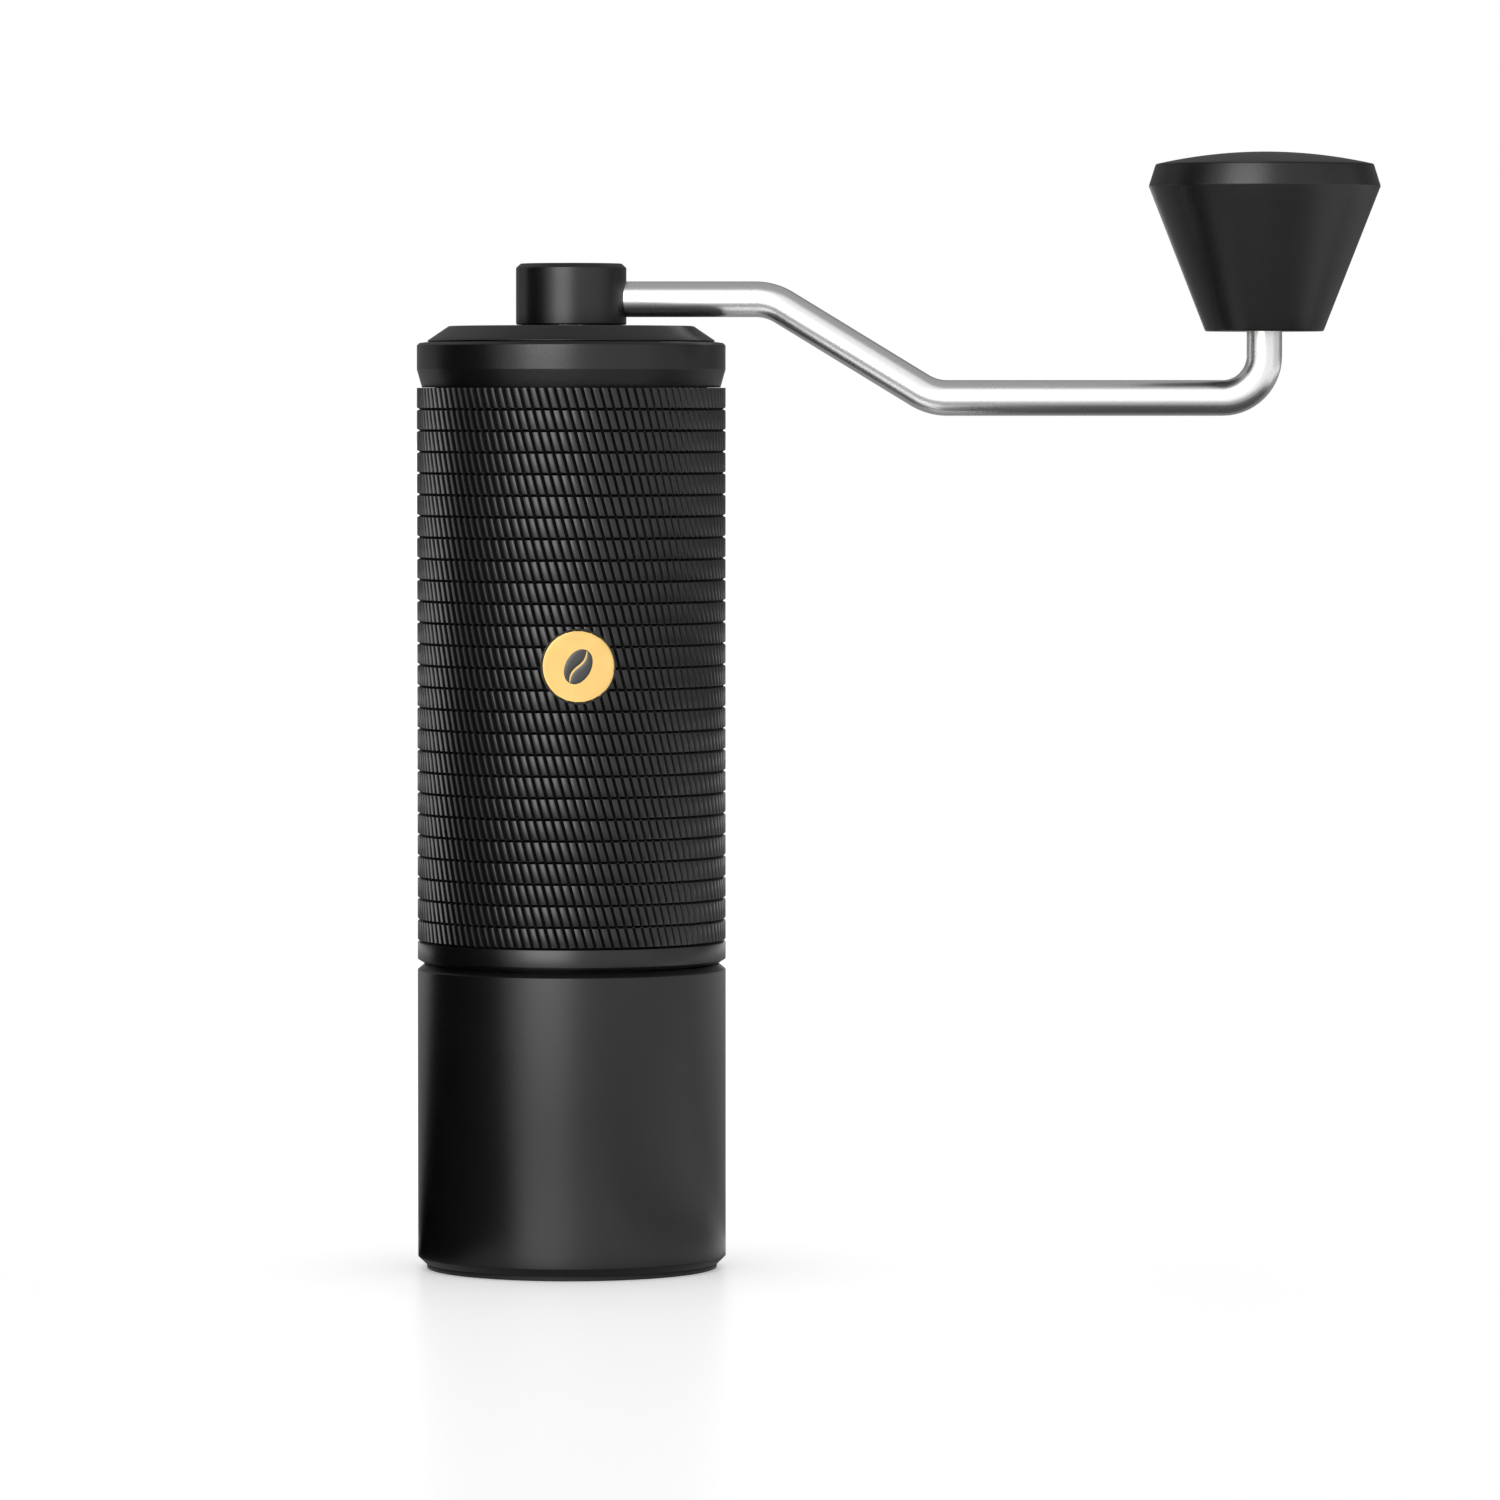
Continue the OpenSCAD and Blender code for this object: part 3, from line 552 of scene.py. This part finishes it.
def make_bean():
    """A coffee bean for the badge, in two domed halves. Half s runs from the crease, an S curve
    of sin(pi t) along the bean's length t, out to an ellipse; its height is a low dome that
    falls to the plate at both edges."""
    length, half_width, crease, sway = 3.1, 2.15, 0.17, 0.42
    rise, base = 0.10, -0.12
    t = np.linspace(-1, 1, 41)[:, None]
    share = np.linspace(0, 1, 9)[None, :]
    oval = np.sqrt(1 - t ** 2)
    halves = []
    for s in (-1, 1):
        middle = sway * np.sin(math.pi * t) + s * crease * oval
        edge = s * half_width * oval
        x = middle + (edge - middle) * share
        dome = np.sin(math.pi * np.clip(share, 0, 1)) ** 0.5 * oval
        top = np.stack([x, length * t + 0 * x, 0.02 + rise * dome], axis=-1)
        under = np.stack([x, length * t + 0 * x, base + 0 * x], axis=-1)[:, ::-1]
        points = np.concatenate([top, under], axis=1)
        halves.append(grid_mesh(f"half{s}", points[:, ::-1] if s < 0 else points, False, True, 50))
    bean = join("badge_bean_mark", halves, 50)
    work = bmesh.new()
    work.from_mesh(bean.data)
    bmesh.ops.recalc_face_normals(work, faces=work.faces)
    work.to_mesh(bean.data)
    work.free()
    return placed(bean, BADGE_SPOT @ Matrix.Rotation(math.radians(-28), 4, "Z"))


def make_tube():
    """The inner tube: a turned outline with the burr seat below, the hopper above and a helical
    thread wound round the spigot."""
    burr_r = reach("ring_burr")
    seat_r, throat_r = burr_r + FIT, burr_r - 2
    tube_r = reach("inner_body")
    hopper_r = reach("lower_bracket") + FIT
    clip_r = mouth_r + 0.7
    spigot_r = body_r - 3.8
    seal_r = spigot_r - 0.6
    upper_z = heights("upper_bracket")[0]
    ledge_z = heights("lower_bracket")[0]
    clip_z, clip_top = heights("bracket_circlip")
    seal_z = sum(heights("cup_seal")) / 2
    outline = rounded([
        (seat_r, tube_low), (spigot_r, tube_low, 0.3), (spigot_r, seal_z - 0.65),
        (seal_r, seal_z - 0.4), (seal_r, seal_z + 0.4), (spigot_r, seal_z + 0.65),
        (spigot_r, sleeve_low), (tube_r, sleeve_low), (tube_r, tube_high),
        (mouth_r, tube_high, 0.3), (mouth_r, clip_top), (clip_r, clip_top), (clip_r, clip_z),
        (mouth_r, clip_z), (mouth_r, upper_z), (hopper_r, upper_z), (hopper_r, ledge_z),
        (hopper_r - 1.5, ledge_z), (throat_r, burr_high + 3), (throat_r, burr_high),
        (seat_r, burr_high)])
    ridge = screw_thread(CUP_THREAD_LOW, CUP_THREAD_HIGH, THREAD_H)
    def relief(r, z, a):
        on_spigot = (np.abs(r - spigot_r) < 0.01) & (z < seal_z - 0.7)
        return np.where(on_spigot, ridge(r, z, a), r)
    return lathe("inner_tube", thinned(refined(outline, 0.2), spigot_r, seal_z), relief=relief)


# ---- lid ----

CAP_SEAT_R = body_r - 4


def make_lid_ring():
    """The lid's ring: a turned outline that flares out below, with a skirt that holds the
    gasket and a bevel round the top."""
    skirt_r = mouth_r - 0.7
    inner_r, groove_r = skirt_r - 1.8, skirt_r - 0.8
    gasket_low, gasket_top = heights("lid_gasket")
    groove_low, groove_top = gasket_low - 0.1, gasket_top + 0.1
    boss_r, boss_low, band_low = body_r - 3.1, seat_high - 1.2, seat_high - 0.14
    rebate_z, shelf_z = ring_high - 0.25, ring_high - 2.5
    outline = rounded([
        (inner_r, ring_low, 0.3), (skirt_r, ring_low, 0.4), (skirt_r, groove_low),
        (groove_r, groove_low), (groove_r, groove_top), (skirt_r, groove_top),
        (skirt_r, boss_low), (boss_r, boss_low, 0.2), (boss_r, band_low),
        (body_r - 0.85, band_low, 0.08), (body_r, seat_high + 2.9, 0.35),
        (body_r, ring_high - 0.55, 0.3), (body_r - 0.45, ring_high - 0.15, 0.2),
        (body_r - 1.6, ring_high, 0.1), (body_r - 1.65, rebate_z), (CAP_SEAT_R, rebate_z),
        (CAP_SEAT_R, shelf_z), (inner_r, shelf_z)])
    return lathe("lid_band", refined(outline, 2.0))


def make_lid_cap():
    """The lid's cone: a turned outline with softened edges and a hole for the shaft."""
    hole_r, cone_r, top_r = 5.0, body_r - 1.7, 20.6
    rim_r, rim_in_r = CAP_SEAT_R - FIT, CAP_SEAT_R - 2
    ceiling_z, edge_z = cap_high - 1.6, ring_high - 0.1
    outline = rounded([
        (hole_r, ceiling_z), (top_r - 1, ceiling_z), (rim_in_r, ring_high - 0.4),
        (rim_in_r, cap_low), (rim_r, cap_low), (rim_r, edge_z),
        (cone_r - 0.5, edge_z), (cone_r, ring_high + 0.18, 0.12),
        (top_r, cap_high, 0.8), (hole_r, cap_high, 0.3)])
    return lathe("lid_cone", refined(outline, 2.0))


# ---- crank ----

ROD_R = 3.0
rod_level = hub_low + 4.3   # the rod's axis where it leaves the hub


def make_hub():
    """The crank's hub: a turned cap with a chamfered top edge, bored across for the rod."""
    socket_r, socket_top = reach("hub_socket") + FIT, heights("hub_socket")[1]
    hub_r = reach("crank_hub")
    outline = rounded([
        (socket_r, hub_low), (hub_r, hub_low, 0.25), (hub_r, hub_high - 0.75, 0.35),
        (hub_r - 0.8, hub_high, 0.35), (0, hub_high),
        (0, socket_top), (socket_r, socket_top)], steps=8)
    hub = lathe("hub_cap", refined(outline, 2.0), columns=192)
    hole_r = ROD_R + RUN
    drill = lathe("drill", rounded([(0, 0), (hole_r, 0), (hole_r, hub_r), (0, hub_r)]), columns=64)
    level = Matrix.Translation(Vector((socket_r, 0, rod_level)) * MM)
    return cut(hub, placed(drill, level @ Matrix.Rotation(math.pi / 2, 4, "Y")))


def make_rod():
    """The crank rod: a circle swept along a polyline in the plane of X and Z whose corners are
    arcs of 9 and 7 mm, with chamfered ends."""
    start = reach("hub_socket") + 0.1
    bend_high_x, bend_low_x, drop = 33.6, 60.8, 16.6
    low = rod_level - drop
    route = rounded([(start, rod_level), (bend_high_x, rod_level, 9), (bend_low_x, low, 9),
                     (knob_x, low, 7), (knob_x, rod_high)], steps=14)
    ends = 0.4
    first, last = (route[1] - route[0]), (route[-1] - route[-2])
    first, last = first / np.hypot(*first), last / np.hypot(*last)
    path = np.vstack([route[:1], route[:1], route[:1] + first * ends, route[1:-1],
                      route[-1:] - last * ends, route[-1:], route[-1:]])
    path[1] += first * 1e-4
    path[-2] -= last * 1e-4
    radii = np.full(len(path), ROD_R)
    radii[[0, -1]] = 0
    radii[[1, -2]] = ROD_R - ends
    return swept("crank_rod", np.stack([path[:, 0], 0 * path[:, 0], path[:, 1]], axis=1), radii,
                 sides=64)


# ---- knob ----

CAP_PLUG_R, CAP_PLUG_H = 12, 1.6
knob_bevel_r = reach("knob_shell") - knob_x - 1.1


def make_knob():
    """The knob's shell: a turned cone with a bevelled shoulder and softened edges."""
    neck_r, knob_r = 9.95, reach("knob_shell") - knob_x
    bushing_r = reach("knob_bushing") - knob_x + FIT
    cone_top = knob_low + 24.4
    plug_r, plug_low = CAP_PLUG_R + FIT, knob_shoulder - CAP_PLUG_H
    cavity_r, bore_top = 6.4, heights("knob_bushing")[1]
    outline = rounded([
        (bushing_r, knob_low, 0.3), (neck_r, knob_low, 0.45), (knob_r, cone_top, 0.45),
        (knob_bevel_r, knob_shoulder, 0.15), (plug_r, knob_shoulder), (plug_r, plug_low),
        (cavity_r, plug_low), (cavity_r, bore_top), (bushing_r, bore_top)], steps=6)
    return lathe("knob_cone", refined(outline, 3.0), axis_x=knob_x)


def make_knob_cap():
    """The knob's domed cap: the dome's height falls with the square of the radius, and its edge
    is eased."""
    rise, plug_low = knob_high - knob_shoulder, knob_shoulder - CAP_PLUG_H
    r = np.linspace(knob_bevel_r - 0.25, 0, 26)
    dome = np.stack([r, knob_high - (rise - 0.2) * (r / knob_bevel_r) ** 2], axis=1)
    foot = rounded([(0, plug_low), (CAP_PLUG_R, plug_low), (CAP_PLUG_R, knob_shoulder),
                    (knob_bevel_r, knob_shoulder, 0.05), (knob_bevel_r, knob_shoulder + 0.1)])
    return lathe("knob_dome", np.vstack([foot, dome]), axis_x=knob_x)


# ---- shaft, burrs and adjuster ----

DRIVE_R = 3.6   # the shaft's flatted part, which drives the inner burr


def polygon_r(a, flat_r, sides):
    """Radius of a regular polygon's wall at angle a, with a corner at angle 0."""
    step = TURN / sides
    return flat_r / np.cos(np.mod(a, step) - step / 2)


def make_shaft():
    """The drive shaft: one grid whose section changes with height. It is a threaded round at the
    foot, a round with two flats through the burr, a plain round, and a hexagon at the top."""
    shaft_r, thread_r, flat_half = 4.0, 3.0, 2.9
    thread_top, drive_top, hex_low = burr_low + 0.6, cone_high, cap_high
    edge = 0.4
    thread = screw_thread(shaft_low + edge, thread_top - 0.6, -0.35, pitch=0.75)
    def relief(r, z, a):
        threaded = np.where(z < thread_top, thread(r, z, a), r)
        flats = np.minimum(r, flat_half / np.maximum(np.abs(np.sin(a)), 0.2))
        flatted = np.where((z >= thread_top) & (z < drive_top), flats, threaded)
        hexagon = polygon_r(a, shaft_r * math.cos(math.pi / 6), 6)
        return np.where(z > hex_low + 0.01, np.minimum(flatted, hexagon), flatted)
    step, row = 0.001, 0.09
    outline = np.array(
        [(0, shaft_low), (thread_r - edge, shaft_low), (thread_r, shaft_low + edge)]
        + [(thread_r, z) for z in np.arange(shaft_low + edge + row, thread_top - step, row)]
        + [(thread_r, thread_top - step), (DRIVE_R, thread_top), (DRIVE_R, drive_top - step),
           (shaft_r, drive_top), (shaft_r, hex_low), (shaft_r, hex_low + 0.02),
           (shaft_r, shaft_high - 0.5), (shaft_r - 0.7, shaft_high), (0, shaft_high)])
    return lathe("shaft", outline, columns=120, relief=relief, crisp=28)


def make_inner_burr():
    """The inner burr: a cone cut by six steep spiral flutes above and thirty-six fine ones round
    the grinding edge. A flute's depth is a sawtooth of its own count times the angle, led on
    with height, and each set fades out towards the other."""
    bore_r = DRIVE_R + RUN
    fine_top = cone_low + 6.5
    outline = np.array(
        [(bore_r, cone_low), (16.55, cone_low)]
        + [(16.6 - 0.14 * t - 0.0115 * t * t, cone_low + t) for t in np.arange(0.4, 16.1, 0.4)]
        + [(11.0 - 0.5 * t, burr_high + t) for t in np.arange(0.4, 7.9, 0.5)]
        + [(7.0, cone_high), (bore_r, cone_high)])
    def relief(r, z, a):
        up = z - cone_low
        steep = np.mod(6 * a / TURN - up * 0.055, 1)
        fine = np.mod(36 * a / TURN - up * 0.10, 1)
        steep_depth = 3.1 * (1 - steep) ** 1.6 * np.clip((up - 4.5) / 5, 0, 1)
        fine_depth = 0.75 * (1 - fine) * np.clip((fine_top - z) / 2, 0, 1)
        cut_r = np.maximum(r - steep_depth - fine_depth, bore_r + 1.3)
        return np.where(r > bore_r + 0.1, cut_r, r)
    return lathe("cone_burr", outline, columns=432, relief=relief, crisp=25)


def make_ring_burr():
    """The ring burr: a ring whose bore carries twelve steep flutes above and forty fine teeth
    near the foot, cut as sawteeth into the wall."""
    burr_r = reach("ring_burr")
    low_r, mid_r, high_r = burr_r - 2, burr_r - 3, burr_r - 6.2
    height = burr_high - burr_low
    bore = [(np.interp(t, [0, 5, height], [low_r, mid_r, high_r]), burr_low + t)
            for t in np.arange(height, -0.01, -0.4)]
    outline = np.array([(burr_r - 0.3, burr_low), (burr_r, burr_low + 0.3),
                        (burr_r, burr_high - 0.3), (burr_r - 0.3, burr_high)] + bore)
    def relief(r, z, a):
        up = z - burr_low
        steep = np.mod(12 * a / TURN + up * 0.05, 1)
        fine = np.mod(40 * a / TURN + up * 0.08, 1)
        depth = (2.0 * steep ** 1.5 * np.clip((up - 5) / 5, 0, 1)
                 + 0.7 * fine * np.clip((7 - up) / 2, 0, 1))
        return np.where(r < burr_r - 0.9, np.minimum(r + depth, burr_r - 1), r)
    return lathe("outer_burr", outline, columns=480, relief=relief, crisp=25)


def make_dial():
    """The grind dial: a turned disc with 24 finger scallops, each a dip of cos squared, and a
    shallow recess round the bore underneath."""
    bore_r, dial_r, scallops = 3.0 + RUN, 12.5, 24
    outline = rounded([
        (bore_r, dial_low + 0.6), (4.4, dial_low + 0.6, 0.1), (4.8, dial_low, 0.1),
        (dial_r, dial_low, 0.6), (dial_r, dial_high, 0.5), (bore_r, dial_high)])
    def relief(r, z, a):
        dip = 0.62 * np.clip(np.cos(a * scallops), 0, 1) ** 2
        return np.where(r > 9, r - dip * np.clip((r - 9) / 2.5, 0, 1), r)
    return lathe("grind_dial", refined(outline, 0.6), columns=480, relief=relief)


def make_spring():
    """The burr spring: a wire swept along a helix whose two end turns lie flat. The helix climbs
    by a smooth step of the turn count."""
    wire, turns = 0.45, 6
    radius = reach("drive_shaft") + 0.4 + wire
    t = np.linspace(0, 1, 36 * turns + 1)
    climb = np.clip((t * turns - 0.8) / (turns - 1.6), 0, 1)
    z = spring_low + wire + (spring_high - spring_low - 2 * wire) * climb
    a = TURN * turns * t
    path = np.stack([radius * np.cos(a), radius * np.sin(a), z], axis=1)
    path = np.vstack([path[:1], path, path[-1:]])
    path[0, 1] -= 1e-3
    path[-1, 1] += 1e-3
    radii = np.full(len(path), wire)
    radii[[0, -1]] = 0
    return swept("coil_spring", path, radii, sides=12)


def make_gasket():
    """The lid's gasket: a soft ring with three rounded lips."""
    low, high = heights("lid_gasket")
    inner, outer = mouth_r - 1.5, reach("lid_gasket")
    z = np.linspace(low, high, 25)
    lips = outer - 0.22 * (1 - wave((z - low) / (high - low) * 3)) ** 2
    outline = np.vstack([[inner, low], np.stack([lips, z], axis=1), [inner, high]])
    return lathe("lid_lips", outline)


# ---- the room ----

MIDDLE = (0, 0, 0.1)


def make_floor(finish):
    """A wide, plain, pale floor, level with the pad's underside."""
    mesh = bpy.data.meshes.new("floor")
    side = 30.0
    mesh.from_pydata([(-side, -side, 0), (side, -side, 0), (side, side, 0), (-side, side, 0)], [],
                     [(0, 1, 2, 3)])
    floor = bpy.data.objects.new("floor", mesh)
    bpy.context.scene.collection.objects.link(floor)
    mesh.materials.append(finish)


def floor_finish():
    """Evenly lit white, part of it its own glow so that shadows stay faint, with a thin soft
    sheen that holds a faint reflection."""
    f = Finish("pale_floor", Base_Color=grey(0.86), Roughness=1.0, Specular_IOR_Level=0.0,
               Emission_Color=grey(1.0), Emission_Strength=0.345)
    gloss = f.node("BsdfGlossy", None, Color=grey(1.0), Roughness=0.32)
    mixed = f.node("MixShader", None, 0.24, Wire(f, f.shader.outputs[0]), gloss)
    f.feed(f.tree.nodes["Material Output"].inputs["Surface"], mixed)
    return f.material


def aim(thing, target):
    """Points a light or camera at a place."""
    way = Vector(target) - thing.location
    thing.rotation_mode = "QUATERNION"
    thing.rotation_quaternion = way.to_track_quat("-Z", "Y")


def soft_light(name, azimuth, elevation, distance, width, height, power):
    """A rectangular softbox that faces the grinder's middle, at an azimuth that is 0 in front
    and grows to the right. It doesn't light matt surfaces, which the room does evenly."""
    lamp = bpy.data.lights.new(name, "AREA")
    lamp.shape, lamp.size, lamp.size_y, lamp.energy = "RECTANGLE", width, height, power
    light = bpy.data.objects.new(name, lamp)
    bpy.context.scene.collection.objects.link(light)
    a, e = math.radians(azimuth), math.radians(elevation)
    light.location = Vector(MIDDLE) + distance * Vector(
        (math.sin(a) * math.cos(e), -math.cos(a) * math.cos(e), math.sin(e)))
    aim(light, MIDDLE)
    light.visible_diffuse = False


def card(name, shade, *corners):
    """A flat card with the given corners in metres. It is seen only in the gloss of the
    grinder, from the side on which its corners run anticlockwise, and is clear from behind."""
    f = Finish("card_" + name, Base_Color=grey(0.0), Roughness=1.0, Specular_IOR_Level=0.0,
               Emission_Color=grey(shade), Emission_Strength=1.0)
    behind = f.node("NewGeometry", out="Backfacing")
    mixed = f.node("MixShader", None, behind, Wire(f, f.shader.outputs[0]),
                   f.node("BsdfTransparent"))
    f.feed(f.tree.nodes["Material Output"].inputs["Surface"], mixed)
    mesh = bpy.data.meshes.new("card_" + name)
    mesh.from_pydata(corners, [], [tuple(range(len(corners)))])
    flat = bpy.data.objects.new("card_" + name, mesh)
    bpy.context.scene.collection.objects.link(flat)
    mesh.materials.append(f.material)
    flat.visible_camera = flat.visible_diffuse = flat.visible_shadow = False


def level_card(name, shade, left, right, near, far, z):
    """A level card seen from above."""
    card(name, shade, (left, near, z), (right, near, z), (right, far, z), (left, far, z))


def upright_card(name, shade, start, end, low, high):
    """An upright card between two places on the floor, seen with its start on the left."""
    card(name, shade, (*start, low), (*end, low), (*end, high), (*start, high))


def make_floor_cards():
    """Cards on the floor, which the chamfers and the lower gloss look at: a black one that leans
    away on the left, grey ones in front, behind and beside the foot, a dark ring of painted
    shade round the foot, and a bright strip."""
    low = 0.001
    card("left", 0.0, (-0.029, -0.05, low), (-0.029, 0.01, low), (-0.33, 0.09, 0.50),
         (-0.33, -0.20, 0.50))
    level_card("front_floor", 0.35, -0.30, 0.34, -0.34, -0.12, low)
    card("back_floor", 0.32, (-0.5, 0.06, low), (0.5, 0.02, low), (1.2, 1.5, low),
         (-1.2, 1.5, low))
    level_card("by_foot", 0.07, 0.045, 0.075, -0.10, 0.019, low)
    # Painted shade: a dark ring seen only in the gloss, which stands for the shadow on the floor
    # round the foot.
    shadow_ring_r, shadow_ring_z = 0.035, 0.0005
    card("foot_ring", 0.2, *[(shadow_ring_r * math.cos(a), shadow_ring_r * math.sin(a), shadow_ring_z)
                             for a in np.linspace(0, TURN, 48, endpoint=False)])
    card("front_glow", 2.0, (-0.40, -1.0, low), (0.08, -1.0, low), (0.03, -0.36, low),
         (-0.18, -0.36, low))


def make_wall_cards():
    """Grey cards behind, at the right and overhead, and level ones under the arm."""
    low, high = 0.09, 0.6
    upright_card("left_back", 0.25, (-0.9, 0.42), (-0.11, 0.5), low, high)
    upright_card("right_back", 0.20, (0.11, 0.5), (0.9, 0.25), low, high)
    upright_card("right", 0.70, (0.9, 0.25), (0.9, -0.45), 0.0, high)
    upright_card("back", 0.20, (-0.12, 0.5), (0.12, 0.5), 0.19, high)
    card("overhead", 0.40, (-1.1, -0.38, 0.9), (-1.1, 0.85, 0.36), (1.1, 0.85, 0.36),
         (1.1, -0.38, 0.9))
    for name, shade, near, far in (("front", 0.45, -0.12, -0.055), ("middle", 0.07, -0.055, 0.03),
                                   ("rear", 0.25, 0.03, 0.10)):
        level_card("under_arm_" + name, shade, 0.07, 0.22, near, far, low)


def make_room():
    """White surroundings, a pale floor, a tall softbox left of the camera, and the cards."""
    world = bpy.data.worlds.new("room")
    bpy.context.scene.world = world
    world.use_nodes = True
    world.node_tree.nodes["Background"].inputs["Color"].default_value = grey(1)
    world.node_tree.nodes["Background"].inputs["Strength"].default_value = 1.0
    make_floor(floor_finish())
    soft_light("key", azimuth=-18, elevation=24, distance=1.1, width=0.70, height=1.05, power=9.6)
    make_floor_cards()
    make_wall_cards()
    bpy.context.scene.view_settings.view_transform = "Standard"


def make_camera():
    """A long lens, level with the lid and a little to the right of the body."""
    camera = bpy.data.objects.new("camera", bpy.data.cameras.new("camera"))
    bpy.context.scene.collection.objects.link(camera)
    camera.data.sensor_width = 36
    camera.data.lens = 205
    camera.data.clip_start = 0.05
    camera.location = (0.0301, -1.440, 0.1462)
    aim(camera, (0.0301, 0, 0.08745))
    bpy.context.scene.camera = camera


# ---- everything together ----

def made(piece, body, finish, slot, *nodes):
    """Gives a new piece its finish and its body, and hides the parts of the frame that it stands
    for.
    """
    piece.data.materials.clear()
    piece.data.materials.append(finish)
    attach(piece, body)
    if nodes:
        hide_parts(*nodes)
    return piece


def refinish(finish, *nodes):
    """Gives parts of the frame a finish."""
    for node in nodes:
        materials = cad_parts[node].data.materials
        materials.clear()
        materials.append(finish)


make_camera()
make_room()

anodised = blasted_black("anodised_black", 0.0028, 0.33)
knurled = blasted_black("knurled_black", 0.0025, 0.29, grain=0.008)
plastic = moulded_black("plastic_black", 0.0028, 0.31)
knob_plastic = moulded_black("knob_black", 0.0028, 0.33)
inner_plastic = moulded_black("tube_grey", 0.035, 0.42)
rod_steel = satin_steel("rod_satin", 0.80, 0.27)
steel = satin_steel("satin_steel", 0.66, 0.26, stretch=(1.0, 1.0, 10.0))
wire_steel = satin_steel("drawn_wire", 0.58, 0.22)
bearing = polished_steel("bearing_steel")
burr_steel = machined_steel("burr_steel")
gold = champagne_gold("champagne_gold", BADGE_SPOT.to_translation())
enamel = dark_enamel("dark_enamel")
rubber = soft_rubber("black_rubber", grey(0.004), grey(0.007), 0.6)
silicone = soft_rubber("pale_silicone", grey(0.50), grey(0.60), 0.5)
bronze = sintered_bronze("sintered_bronze")

made(make_cup(), "cup", anodised, "black_anodised", "catch_cup")
made(make_pad(), "cup", rubber, "black_rubber", "base_pad")
made(make_grip(), "housing", knurled, "black_anodised", "grip_sleeve")
made(make_badge(), "housing", gold, "gold_plate", "badge_disc")
made(make_bean(), "housing", enamel, "dark_enamel", "badge_bean")
made(make_tube(), "housing", inner_plastic, "inner_plastic", "inner_body")
made(make_lid_ring(), "lid", plastic, "black_plastic", "lid_ring")
made(make_lid_cap(), "lid", plastic, "black_plastic", "lid_cap")
made(make_gasket(), "lid", silicone, "clear_silicone", "lid_gasket")
made(make_hub(), "crank", anodised, "black_anodised", "crank_hub")
made(make_rod(), "crank", rod_steel, "stainless", "crank_arm")
made(make_knob(), "knob", knob_plastic, "black_plastic", "knob_shell")
made(make_knob_cap(), "knob", knob_plastic, "black_plastic", "knob_cap")
made(make_shaft(), "rotor", steel, "stainless", "drive_shaft")
made(make_inner_burr(), "burr", burr_steel, "burr_steel", "inner_burr")
made(make_ring_burr(), "housing", burr_steel, "burr_steel", "ring_burr")
made(make_dial(), "dial", plastic, "black_plastic", "adjusting_dial")
spring = make_spring()
spring.data.materials.append(wire_steel)
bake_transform(spring)
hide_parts("burr_spring")

refinish(inner_plastic, "upper_bracket", "lower_bracket")
refinish(wire_steel, "bracket_circlip", "shaft_clips", "detent_springs")
refinish(bearing, "upper_bearing_outer", "lower_bearing_outer", "upper_bearing_inner",
         "lower_bearing_inner", "upper_bearing_balls", "lower_bearing_balls", "detent_balls")
refinish(steel, "burr_retainer", "retainer_screws", "detent_plate", "hub_socket", "knob_screw",
         "knob_washer")
refinish(rubber, "cup_seal")
refinish(bronze, "knob_bushing")
